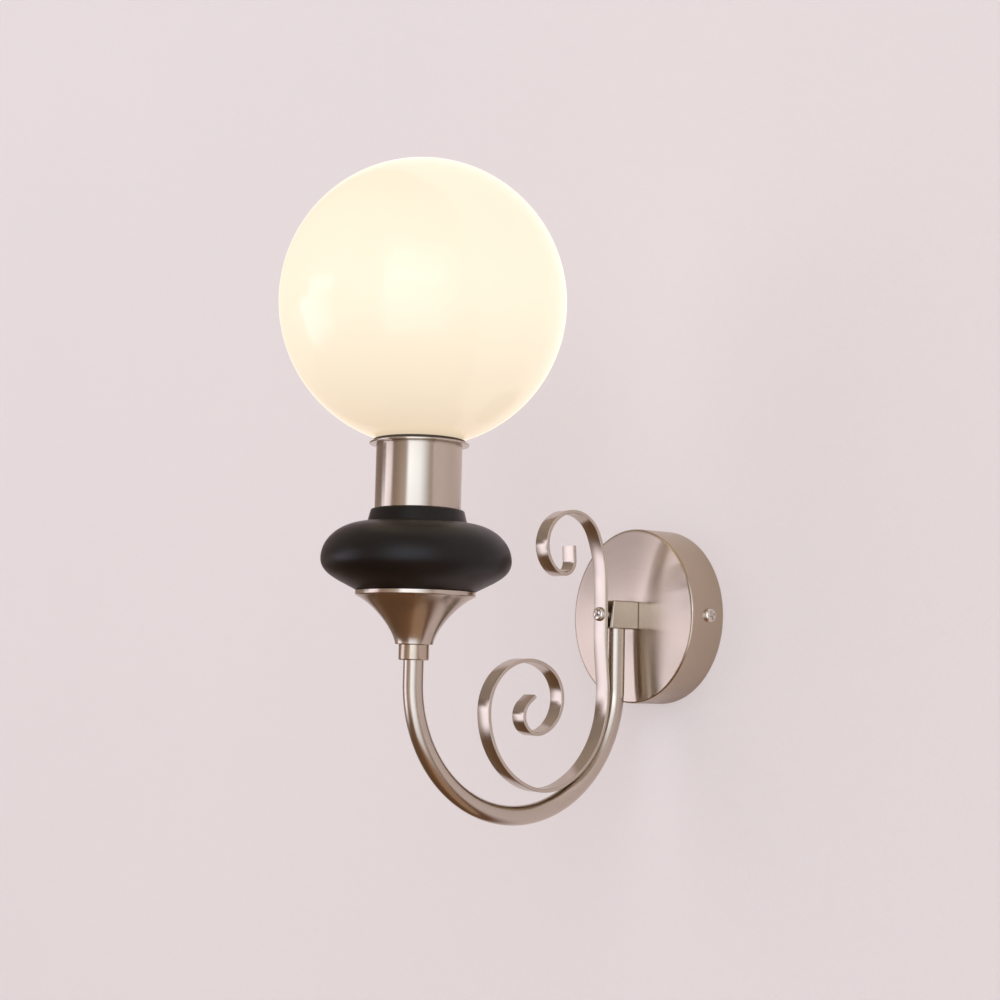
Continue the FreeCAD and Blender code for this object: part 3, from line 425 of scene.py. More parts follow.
@dataclass(frozen=True)
class PlatedMetal(Finish):
    """Plated or plain metal without a brushed direction, for small parts."""

    name: str
    colour: Colour
    patch: Colour
    roughness: float = 0.22
    grit: float = 900.0
    depth: float = 0.01 * MM
    wear: float = 0.4

    def make(self) -> bpy.types.Material:
        """Make the material."""
        sheet = MaterialSheet(self.name, {"Metallic": 1.0})
        marks = sheet.group(handling(), {"Patch Scale": 60.0, "Grit Scale": self.grit})
        worn = sheet.group(edge_wear(), {"Amount": self.wear, "Patch Scale": 300.0})
        share = sheet.span(marks.outputs["Patches"], -1.0, 1.0, 0.0, 1.0)
        base = sheet.mix(share, self.colour, self.patch)
        bright = tuple(min(1.0, c * 1.15) for c in self.colour)
        sheet.feed("Base Color", sheet.mix(worn.outputs["Wear"], base, bright))
        rough = sheet.span(marks.outputs["Grit"], -1.0, 1.0,
                           self.roughness - 0.05, self.roughness + 0.07)
        sheet.feed("Roughness", sheet.math(
            "SUBTRACT", rough, sheet.math("MULTIPLY", worn.outputs["Wear"], 0.08)))
        sheet.bump(marks.outputs["Grit"], self.depth)
        return sheet.material


@dataclass(frozen=True)
class PaintedWood(Finish):
    """Turned wood under a satin black paint that lets a little of the grain through."""

    name: str = "satin_black_wood"
    colour: Colour = linear(16, 12, 11)
    ridge: Colour = linear(20, 16, 15)

    def make(self) -> bpy.types.Material:
        """Make the material."""
        sheet = MaterialSheet(self.name, {
            "Specular IOR Level": 0.32, "Coat Roughness": 0.3, "IOR": 1.48,
        })
        place = sheet.add("ShaderNodeTexCoord")
        # The blank's growth rings lie across the turning axis, so the grain runs along X.
        grain = sheet.group(brush_lines(), {"Coordinates": place.outputs["Object"],
                                            "Along": 16.0, "Across": 420.0})
        uv = sheet.add("ShaderNodeUVMap", uv_map=BRUSH_MAP)
        tool = sheet.group(brush_lines(), {"Coordinates": uv.outputs[0], "Along": 5.0,
                                           "Across": 1400.0})
        marks = sheet.group(handling(), {"Patch Scale": 26.0, "Grit Scale": 2600.0})
        worn = sheet.group(edge_wear(), {"Amount": 0.35, "Patch Scale": 120.0})
        base = sheet.mix(sheet.span(grain.outputs["Lines"], 0.2, 0.8, 0.0, 1.0),
                         self.colour, self.ridge)
        sheet.feed("Base Color", sheet.mix(worn.outputs["Wear"], base, linear(48, 44, 42)))
        rough = sheet.span(grain.outputs["Lines"], 0.2, 0.8, 0.36, 0.40)
        rough = sheet.math("ADD", rough, sheet.math("MULTIPLY", marks.outputs["Patches"], 0.03))
        sheet.feed("Roughness", rough)
        sheet.feed("Coat Weight", sheet.span(marks.outputs["Patches"], -1.0, 1.0, 0.02, 0.06))
        height = sheet.math("ADD", sheet.math("MULTIPLY", grain.outputs["Height"], 0.35),
                            sheet.math("MULTIPLY", tool.outputs["Height"], 0.2))
        height = sheet.math("ADD", height, sheet.math("MULTIPLY", marks.outputs["Grit"], 0.1))
        sheet.bump(height, 0.006 * MM)
        return sheet.material


@dataclass(frozen=True)
class Moulded(Finish):
    """Moulded plastic or rubber with a fine eroded skin."""

    name: str
    colour: Colour
    patch: Colour
    roughness: float = 0.42
    grit: float = 2200.0
    depth: float = 0.02 * MM
    glow: Colour = (0.0, 0.0, 0.0)
    glow_strength: float = 0.0

    def make(self) -> bpy.types.Material:
        """Make the material."""
        sheet = MaterialSheet(self.name, {
            "Metallic": 0.0, "IOR": 1.5, "Emission Strength": self.glow_strength,
        })
        marks = sheet.group(handling(), {"Patch Scale": 45.0, "Grit Scale": self.grit})
        share = sheet.span(marks.outputs["Patches"], -1.0, 1.0, 0.0, 1.0)
        sheet.feed("Base Color", sheet.mix(share, self.colour, self.patch))
        sheet.feed("Roughness", sheet.span(marks.outputs["Grit"], -1.0, 1.0,
                                           self.roughness - 0.06, self.roughness + 0.08))
        if self.glow_strength:
            soft = tuple(c * 0.94 for c in self.glow)
            sheet.feed("Emission Color", sheet.mix(share, self.glow, soft))
        sheet.bump(marks.outputs["Grit"], self.depth)
        return sheet.material


@dataclass(frozen=True)
class OpalGlass(Finish):
    """Lit opal glass: warm, brightest round the bulb, dimmer towards the mouth and the top."""

    name: str = "lit_opal_glass"
    colour: Colour = (0.30, 0.28, 0.24)
    bright: Colour = (1.0, 0.90, 0.68)
    low: Colour = (0.88, 0.68, 0.47)
    crest: Colour = (0.98, 0.77, 0.56)
    strength: float = 0.76
    centre: Point3 = (0.0, -0.176, 0.15907)
    radius: float = 0.076

    def make(self) -> bpy.types.Material:
        """Make the material."""
        sheet = MaterialSheet(self.name, {
            "Metallic": 0.0, "IOR": 1.5, "Transmission Weight": 0.0,
            "Emission Strength": self.strength,
        })
        place = sheet.add("ShaderNodeTexCoord")
        parts = sheet.add("ShaderNodeSeparateXYZ", {0: place.outputs["Object"]})
        foot = self.centre[2] - self.radius
        rise = sheet.span(parts.outputs[2], foot, foot + self.radius * 0.85, 0.0, 1.0)
        rise = sheet.math("POWER", rise, 0.5)
        clouds = sheet.group(handling(), {"Patch Scale": 14.0, "Grit Scale": 700.0})
        rise = sheet.math("ADD", rise, sheet.math("MULTIPLY", clouds.outputs["Patches"], 0.03))
        middle, top = self.centre[2], self.centre[2] + self.radius
        above = sheet.span(parts.outputs[2], middle, top, 0.0, 1.0)
        upper = sheet.mix(above, self.bright, self.crest)
        sheet.feed("Emission Color", sheet.mix(rise, self.low, upper))
        share = sheet.span(clouds.outputs["Patches"], -1.0, 1.0, 0.0, 1.0)
        sheet.feed("Base Color", sheet.mix(share, self.colour,
                                           tuple(c * 0.95 for c in self.colour)))
        sheet.feed("Roughness", sheet.span(clouds.outputs["Grit"], -1.0, 1.0, 0.10, 0.16))
        sheet.bump(clouds.outputs["Patches"], 0.06 * MM)
        return sheet.material


NICKEL = BrushedMetal("brushed_nickel", (0.545, 0.480, 0.405), (0.575, 0.510, 0.435),
                      roughness=0.21, spread=0.025, stretch=0.8, depth=0.0008 * MM)
# Darker, more golden copy of the brushed nickel: painted shade on the canopy's side, also used on
# the ferrule.
NICKEL_SHADED = BrushedMetal("brushed_nickel_painted_shade", (0.510, 0.425, 0.330), (0.540, 0.455, 0.355),
                          roughness=0.24, spread=0.02, stretch=0.7, depth=0.0008 * MM)
NICKEL_SPUN = BrushedMetal("spun_nickel", (0.545, 0.475, 0.400), (0.565, 0.495, 0.420),
                           roughness=0.21, stretch=0.3, depth=0.0005 * MM)
NICKEL_STRIP = BrushedMetal("brushed_nickel_strip", (0.550, 0.485, 0.410), (0.580, 0.515, 0.440),
                            roughness=0.20, stretch=0.3, across=3200.0)
NICKEL_FACE = BrushedMetal("turned_nickel_plate", (0.530, 0.450, 0.370), (0.580, 0.500, 0.420),
                           roughness=0.22, spread=0.025, stretch=0.94, along=8.0, across=5200.0,
                           depth=0.0005 * MM)
BRIGHT = PlatedMetal("bright_nickel_screw", (0.80, 0.76, 0.72), (0.72, 0.68, 0.63), roughness=0.14)
ZINC = PlatedMetal("zinc_plated_steel", (0.60, 0.62, 0.64), (0.50, 0.53, 0.56), roughness=0.36,
                   depth=0.02 * MM)
BRASS = PlatedMetal("plain_brass", (0.78, 0.58, 0.28), (0.68, 0.49, 0.22), roughness=0.26)
WOOD = PaintedWood()
BLACK_PLASTIC = Moulded("black_moulding", linear(30, 30, 31), linear(37, 36, 36))
WHITE_PLASTIC = Moulded("white_moulding", linear(226, 224, 218), linear(215, 212, 204))
SILICONE = Moulded("dark_soft_ring", linear(52, 46, 42), linear(62, 56, 50), roughness=0.6)
OPAL_PLASTIC = Moulded("lit_opal_plastic", (0.80, 0.78, 0.70), (0.76, 0.73, 0.66),
                       roughness=0.35, glow=(1.0, 0.93, 0.76), glow_strength=1.4)
OPAL_GLASS = OpalGlass()


# --------------------------------------------------------------------------------------------
# Mesh helpers
# --------------------------------------------------------------------------------------------


class Outline:
    """A closed outline of radius and height, drawn with lines, rounded corners and curves."""

    def __init__(self, start: Point2) -> None:
        """Start the outline at a radius and height."""
        self.corners: list[tuple[Point2, float]] = [(start, 0.0)]

    def line(self, radius: float, height: float, rounding: float = 0.0) -> "Outline":
        """Add a straight run.

        Args:
            radius: Radius of its end.
            height: Height of its end.
            rounding: Radius of the corner there.

        Returns:
            The outline.
        """
        self.corners.append(((radius, height), rounding))
        return self

    def curve(self, first: Point2, second: Point2, end: Point2, count: int = 40) -> "Outline":
        """Add a cubic curve.

        Args:
            first: Handle of the start.
            second: Handle of the end.
            end: End of the curve.
            count: Number of steps.

        Returns:
            The outline.
        """
        start = self.corners[-1][0]
        for number in range(1, count + 1):
            t = number / count
            weights = ((1 - t) ** 3, 3 * t * (1 - t) ** 2, 3 * t * t * (1 - t), t ** 3)
            place = tuple(
                sum(w * p[axis] for w, p in zip(weights, (start, first, second, end)))
                for axis in (0, 1)
            )
            self.corners.append(((place[0], place[1]), 0.0))
        return self

    def points(self, steps: int = 6) -> list[Point2]:
        """Return the outline's points with its corners rounded.

        Args:
            steps: Number of steps in a rounded corner.

        Returns:
            Points of radius and height.
        """
        result: list[Point2] = []
        count = len(self.corners)
        for number, (corner, rounding) in enumerate(self.corners):
            if not rounding:
                result.append(corner)
                continue
            here = Vector(corner)
            before = Vector(self.corners[number - 1][0]) - here
            after = Vector(self.corners[(number + 1) % count][0]) - here
            before.normalize()
            after.normalize()
            half = before.angle(after) / 2
            reach = rounding / math.tan(half)
            start, end = here + before * reach, here + after * reach
            for step in range(steps + 1):
                t = step / steps
                bent = start * (1 - t) ** 2 + here * 2 * t * (1 - t) + end * t * t
                result.append((bent.x, bent.y))
        return result


def finish_mesh(mesh: bpy.types.Mesh, angle: float = 35.0) -> None:
    """Smooth a mesh's faces and keep its edges sharp.

    Args:
        mesh: Mesh to finish.
        angle: Edges that turn more than this many degrees stay sharp.
    """
    mesh.polygons.foreach_set("use_smooth", [True] * len(mesh.polygons))
    mesh.set_sharp_from_angle(angle=math.radians(angle))
    mesh.update()


def new_piece(name: str, mesh: bpy.types.Mesh, finish: bpy.types.Material) -> bpy.types.Object:
    """Put a mesh in the scene as a piece with one material.

    Args:
        name: Name of the piece.
        mesh: Its mesh.
        finish: Its material.

    Returns:
        The piece.
    """
    mesh.materials.clear()
    mesh.materials.append(finish)
    piece = bpy.data.objects.new(name, mesh)
    bpy.context.scene.collection.objects.link(piece)
    return piece


def settle(piece: bpy.types.Object, body: Body, slot: str, *nodes: str) -> bpy.types.Object:
    """Tie a finished piece to the frame.

    Args:
        piece: The piece.
        body: Body that it moves with.
        slot: Not used.
        nodes: CAD nodes that it stands for.

    Returns:
        The piece.
    """
    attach(piece, body.value)
    if nodes:
        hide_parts(*nodes)
    log.info("%s: %d faces on %s", piece.name, len(piece.data.polygons), body.value)
    return piece


@dataclass
class Lathe:
    """Turns an outline round an axis."""

    centre: Point3 = (0.0, 0.0, 0.0)
    axis: Point3 = (0.0, 0.0, 1.0)
    segments: int = 192

    def frame(self) -> Matrix:
        """Return the matrix from the outline's own space to the light's frame."""
        turn = Vector((0, 0, 1)).rotation_difference(Vector(self.axis)).to_matrix().to_4x4()
        return Matrix.Translation(self.centre) @ turn

    def mesh(self, name: str, points: Sequence[Point2], closed: bool = True) -> bpy.types.Mesh:
        """Turn a closed outline into a mesh with a map that follows the turning.

        Args:
            name: Name of the mesh.
            points: Radius and height of each point, anticlockwise in the right half-plane.
            closed: Whether the last point joins the first.

        Returns:
            The mesh, its faces pointing outwards.
        """
        build = bmesh.new()
        layer = build.loops.layers.uv.new(BRUSH_MAP)
        rings: list[list[bmesh.types.BMVert]] = []
        for radius, height in points:
            if radius < 1e-7:
                rings.append([build.verts.new((0.0, 0.0, height))])
                continue
            ring = []
            for number in range(self.segments):
                angle = math.tau * number / self.segments
                ring.append(build.verts.new((radius * math.cos(angle), radius * math.sin(angle),
                                             height)))
            rings.append(ring)
        travelled = [0.0]
        for first, second in zip(points, [*points[1:], points[0]]):
            travelled.append(travelled[-1] + math.dist(first, second))
        last = len(points) if closed else len(points) - 1
        for number in range(last):
            low, high = rings[number], rings[(number + 1) % len(points)]
            if len(low) == 1 and len(high) == 1:
                continue
            reach = max(points[number][0], points[(number + 1) % len(points)][0])
            self._band(build, layer, low, high, travelled[number:number + 2], reach)
        bmesh.ops.recalc_face_normals(build, faces=build.faces)
        build.transform(self.frame())
        mesh = bpy.data.meshes.new(name)
        build.to_mesh(mesh)
        build.free()
        finish_mesh(mesh)
        return mesh

    def _band(
        self, build: bmesh.types.BMesh, layer: bmesh.types.BMLayerItem,
        low: list[bmesh.types.BMVert], high: list[bmesh.types.BMVert],
        along: Sequence[float], reach: float,
    ) -> None:
        """Add the faces between two rings.

        Args:
            build: Mesh in work.
            layer: Layer of the brushing map.
            low: First ring, or the one point on the axis.
            high: Second ring, or the one point on the axis.
            along: Way travelled along the outline at both rings.
            reach: Larger of the two radii.
        """
        for number in range(self.segments):
            after = (number + 1) % self.segments
            start = math.tau * number / self.segments * reach
            end = math.tau * (number + 1) / self.segments * reach
            if len(low) == 1:
                corners = [(low[0], (start, along[0])), (high[after], (end, along[1])),
                           (high[number], (start, along[1]))]
            elif len(high) == 1:
                corners = [(low[number], (start, along[0])), (low[after], (end, along[0])),
                           (high[0], (start, along[1]))]
            else:
                corners = [(low[number], (start, along[0])), (low[after], (end, along[0])),
                           (high[after], (end, along[1])), (high[number], (start, along[1]))]
            face = build.faces.new([corner[0] for corner in corners])
            for loop in face.loops:
                for vert, uv in corners:
                    if loop.vert is vert:
                        loop[layer].uv = uv


def map_flat(
    mesh: bpy.types.Mesh, normal: Vector, across: Vector, up: Vector, limit: float = 0.9
) -> None:
    """Lay the brushing map straight over the faces that look one way.

    Args:
        mesh: Mesh to change.
        normal: Direction that the faces look in.
        across: Direction of the brush lines.
        up: Direction across the lines.
        limit: Smallest cosine between a face's normal and the direction.
    """
    layer = mesh.uv_layers.get(BRUSH_MAP) or mesh.uv_layers.new(name=BRUSH_MAP)
    for polygon in mesh.polygons:
        if polygon.normal.dot(normal) < limit:
            continue
        for index in polygon.loop_indices:
            place = mesh.vertices[mesh.loops[index].vertex_index].co
            layer.data[index].uv = (place.dot(across), place.dot(up))


# --------------------------------------------------------------------------------------------
# Geometry Nodes helpers
# --------------------------------------------------------------------------------------------


class ShapeTree(Wiring):
    """A Geometry Nodes tree with named inputs for its sizes."""

    def __init__(self, name: str, inputs: Sequence[tuple[str, str, object]]) -> None:
        """Start the tree.

        Args:
            name: Name of the tree.
            inputs: Name, socket type and value of each input after the geometry.
        """
        super().__init__(bpy.data.node_groups.new(name, "GeometryNodeTree"))
        face = self.tree.interface
        face.new_socket("Geometry", in_out="INPUT", socket_type="NodeSocketGeometry")
        for label, kind, value in inputs:
            socket = face.new_socket(label, in_out="INPUT", socket_type=kind)
            if value is not None:
                socket.default_value = value
        face.new_socket("Geometry", in_out="OUTPUT", socket_type="NodeSocketGeometry")
        self.given = self.add("NodeGroupInput")
        self.result = self.add("NodeGroupOutput")

    def end(self, geometry: bpy.types.NodeSocket) -> None:
        """Realize the instances, set the material and close the tree.

        Args:
            geometry: Finished shape of the tree.
        """
        real = self.add("GeometryNodeRealizeInstances", {0: geometry})
        dressed = self.add("GeometryNodeSetMaterial", {
            "Geometry": real.outputs[0], "Material": self.given.outputs["Material"]})
        self.tree.links.new(dressed.outputs[0], self.result.inputs[0])

    def shape(self, name: str, source: bpy.types.ID, values: dict) -> bpy.types.Mesh:
        """Run the tree on a source and return the plain mesh.

        Args:
            name: Name of the new mesh.
            source: Mesh or curve data that the tree starts from.
            values: Values of the named inputs.

        Returns:
            The mesh that the tree gives.
        """
        carrier = bpy.data.objects.new(name + "_carrier", source)
        bpy.context.scene.collection.objects.link(carrier)
        modifier = carrier.modifiers.new("shape", "NODES")
        modifier.node_group = self.tree
        names = {item.name: item.identifier for item in self.tree.interface.items_tree
                 if item.item_type == "SOCKET" and item.in_out == "INPUT"}
        for label, value in values.items():
            modifier[names[label]] = value
        graph = bpy.context.evaluated_depsgraph_get()
        mesh = bpy.data.meshes.new_from_object(carrier.evaluated_get(graph),
                                               preserve_all_data_layers=True, depsgraph=graph)
        mesh.name = name
        bpy.data.objects.remove(carrier)
        return mesh


def path_mesh(name: str, points: Sequence[Vector]) -> bpy.types.Mesh:
    """Join points in a row by edges.

    Args:
        name: Name of the mesh.
        points: The points in order.

    Returns:
        The mesh, which has no faces.
    """
    mesh = bpy.data.meshes.new(name)
    edges = [(number, number + 1) for number in range(len(points) - 1)]
    mesh.from_pydata([tuple(point) for point in points], edges, [])
    return mesh


def sweep_tree() -> ShapeTree:
    """Return the tree that draws a rounded section along a path in the plane x = 0.

    The section is a rectangle of Width by Thickness whose corners are rounded. Where the
    Rounding is half of both, it is a circle.
    """
    w = ShapeTree("section_along_path", [
        ("Width", "NodeSocketFloat", 0.01), ("Thickness", "NodeSocketFloat", 0.002),
        ("Rounding", "NodeSocketFloat", 0.0003), ("Corner Steps", "NodeSocketInt", 6),
        ("Closed Ends", "NodeSocketBool", True), ("Material", "NodeSocketMaterial", None),
    ])
    path = w.add("GeometryNodeMeshToCurve", {0: w.given.outputs["Geometry"]})
    upright = w.add("GeometryNodeSetCurveNormal", {0: path.outputs[0]})
    for option in upright.inputs:
        if option.name == "Mode" and option.type == "MENU":
            option.default_value = "Free"
    if hasattr(upright, "mode"):
        upright.mode = "FREE"
    upright.inputs["Normal"].default_value = (1.0, 0.0, 0.0)
    length = w.add("GeometryNodeSplineParameter")
    marked = w.add("GeometryNodeStoreNamedAttribute", {
        "Geometry": upright.outputs[0], "Name": "way", "Value": length.outputs["Length"]},
        data_type="FLOAT", domain="POINT")
    box = w.add("GeometryNodeCurvePrimitiveQuadrilateral", {
        "Width": w.given.outputs["Width"], "Height": w.given.outputs["Thickness"]})
    soft = w.add("GeometryNodeFilletCurve", {
        "Curve": box.outputs[0], "Count": w.given.outputs["Corner Steps"],
        "Radius": w.given.outputs["Rounding"]}, mode="POLY")
    around = w.add("GeometryNodeSplineParameter")
    section = w.add("GeometryNodeStoreNamedAttribute", {
        "Geometry": soft.outputs[0], "Name": "girth", "Value": around.outputs["Length"]},
        data_type="FLOAT", domain="POINT")
    swept = w.add("GeometryNodeCurveToMesh", {
        "Curve": marked.outputs[0], "Profile Curve": section.outputs[0],
        "Fill Caps": w.given.outputs["Closed Ends"]})
    w.end(swept.outputs[0])
    return w


def map_sweep(mesh: bpy.types.Mesh) -> None:
    """Turn the way and girth that the sweep stored into the brushing map.

    Args:
        mesh: Swept mesh, which loses the two attributes.
    """
    way = mesh.attributes["way"].data
    girth = mesh.attributes["girth"].data
    largest = max(item.value for item in girth)
    layer = mesh.uv_layers.new(name=BRUSH_MAP)
    for polygon in mesh.polygons:
        places = [mesh.loops[index].vertex_index for index in polygon.loop_indices]
        seam = max(girth[p].value for p in places) - min(girth[p].value for p in places)
        for index, place in zip(polygon.loop_indices, places):
            round_it = girth[place].value
            if seam > largest / 2 and round_it < largest / 2 and len(places) == 4:
                round_it += largest
            layer.data[index].uv = (way[place].value, round_it)
    for name in ("way", "girth"):
        mesh.attributes.remove(mesh.attributes[name])


def fastener_tree() -> ShapeTree:
    """Return the tree that puts one screw on each point, its head along the point's normal."""
    w = ShapeTree("screws_on_points", [
        ("Screw", "NodeSocketObject", None), ("Scale", "NodeSocketFloat", 1.0),
        ("Spin Seed", "NodeSocketInt", 4), ("Material", "NodeSocketMaterial", None),
    ])
    points = w.add("GeometryNodeMeshToPoints", {0: w.given.outputs["Geometry"]}, mode="VERTICES")
    facing = w.add("GeometryNodeInputNamedAttribute", {"Name": "facing"},
                   data_type="FLOAT_VECTOR")
    turn = w.add("FunctionNodeAlignRotationToVector", {"Vector": facing.outputs["Attribute"]},
                 axis="Z")
    spin = w.add("FunctionNodeRandomValue", data_type="FLOAT")
    spin.inputs[2].default_value, spin.inputs[3].default_value = 0.15, 1.4
    w.tree.links.new(w.given.outputs["Spin Seed"], spin.inputs["Seed"])
    about = w.add("FunctionNodeAxisAngleToRotation", {"Axis": (0.0, 0.0, 1.0),
                                                      "Angle": spin.outputs[1]})
    turned = w.add("FunctionNodeRotateRotation", {0: turn.outputs[0], 1: about.outputs[0]},
                   rotation_space="LOCAL")
    screw = w.add("GeometryNodeObjectInfo", {"Object": w.given.outputs["Screw"]})
    placed = w.add("GeometryNodeInstanceOnPoints", {
        "Points": points.outputs[0], "Instance": screw.outputs["Geometry"],
        "Rotation": turned.outputs[0], "Scale": w.given.outputs["Scale"]})
    w.end(placed.outputs[0])
    return w


@dataclass(frozen=True)
class Run:
    """One straight run (turn 0) or arc of a bent path, positive towards the left."""

    measure: float
    turn: float = 0.0


def bent_path(start: Point2, heading: Point2, runs: Sequence[Run], step: float) -> list[Point2]:
    """Follow straight runs and arcs in the plane x = 0.

    Args:
        start: First point.
        heading: Direction at the start.
        runs: The runs and arcs in order.
        step: Longest step in degrees along an arc.

    Returns:
        The points, the start included.
    """

    def turn(vector: Vector, degrees: float) -> Vector:
        """Return a vector turned anticlockwise."""
        return Matrix.Rotation(math.radians(degrees), 2) @ vector

    here, way = Vector(start), Vector(heading)
    points = [tuple(here)]
    for run in runs:
        if not run.turn:
            here = here + way * run.measure * MM
            points.append(tuple(here))
            continue
        left = turn(way, 90) * (1 if run.turn > 0 else -1)
        centre = here + left * run.measure * MM
        count = max(2, math.ceil(abs(run.turn) / step))
        for number in range(1, count + 1):
            points.append(tuple(centre + turn(here - centre, run.turn * number / count)))
        here, way = Vector(points[-1]), turn(way, run.turn)
    return points


# --------------------------------------------------------------------------------------------
# Wall side
# --------------------------------------------------------------------------------------------


@dataclass
class Canopy:
    """Round drawn cover against the wall."""

    radius: float = 50.0 * MM
    depth: float = 25.0 * MM
    wall: float = 1.2 * MM
    edge: float = 1.6 * MM
    crown: float = 1.1 * MM
    seat: float = 12.0 * MM
    screw_depth: float = 11.0 * MM
    side_limit: float = -0.97

    def build(self) -> None:
        """Make the cover with a slightly crowned, turned face and a brushed side in a darker copy
        of the nickel, painted shade.
        """
        inner, seat = self.radius - self.wall, self.seat
        shoulder = self.depth - self.crown
        outline = (
            Outline((inner, 0.0)).line(self.radius, 0.0, 0.25 * MM)
            .line(self.radius, shoulder, self.edge)
            .line(self.radius - self.edge * 1.6, shoulder + 0.06 * MM)
            .curve((self.radius * 0.66, shoulder + self.crown * 0.62),
                   (self.radius * 0.45, self.depth), (seat, self.depth), 24)
            .line(0.0, self.depth).line(0.0, self.depth - self.wall)
            .line(seat, self.depth - self.wall).line(inner, shoulder - self.wall, 0.6 * MM)
        )
        lathe = Lathe(axis=(0.0, -1.0, 0.0), segments=288)
        mesh = lathe.mesh("canopy_drawn_cover", outline.points(9))
        piece = new_piece("canopy_drawn_cover", mesh, NICKEL_FACE.build())
        # The side gets the darker, more golden copy of the nickel: painted shade.
        mesh.materials.append(NICKEL_SHADED.build())
        for polygon in mesh.polygons:
            if polygon.normal.y > self.side_limit:
                polygon.material_index = 1
        settle(piece, Body.FIXTURE, "nickel", "canopy_cover")


@dataclass
class ArmBlock:
    """Square bar between the canopy, the tube and the scroll."""

    width: float = 15.0 * MM
    height: float = 15.8 * MM
    length: float = 21.0 * MM
    start: float = 25.0 * MM
    edge: float = 0.7 * MM
    top_gap: float = 2.3 * MM
    low_gap: float = 0.8 * MM
    boss: float = 3.6 * MM

    def build(self) -> None:
        """Make the bar, its end cut back behind the scroll round a boss that seats it."""
        build = bmesh.new()
        bmesh.ops.create_cube(build, size=1.0)
        bmesh.ops.transform(build, verts=build.verts, matrix=(
            Matrix.Translation((0.0, -self.start - self.length / 2, 0.0))
            @ Matrix.Diagonal((self.width, self.length, self.height, 1.0))))
        for vert in build.verts:
            if vert.co.y < -self.start - self.length / 2:
                vert.co.y += self.top_gap if vert.co.z > 0 else self.low_gap
        bmesh.ops.bevel(build, geom=build.edges[:], offset=self.edge, segments=5, profile=0.5,
                        affect="EDGES")
        reach = 2 * self.top_gap
        bmesh.ops.create_cone(build, cap_ends=True, segments=48, radius1=self.boss,
                              radius2=self.boss, depth=reach, matrix=(
                                  Matrix.Translation((0.0, reach / 2 - self.start - self.length,
                                                      0.0))
                                  @ Matrix.Rotation(math.radians(90), 4, "X")))
        mesh = bpy.data.meshes.new("square_arm_block")
        build.to_mesh(mesh)
        build.free()
        finish_mesh(mesh, 50.0)
        mesh.uv_layers.new(name=BRUSH_MAP)
        along, up, side = Vector((0, 1, 0)), Vector((0, 0, 1)), Vector((1, 0, 0))
        for sign in (1, -1):
            map_flat(mesh, side * sign, along, up, 0.6)
            map_flat(mesh, up * sign, along, side, 0.6)
            map_flat(mesh, along * sign, side, up, 0.6)
        settle(new_piece("square_arm_block", mesh, NICKEL.build()), Body.FIXTURE, "nickel",
               "arm_block")


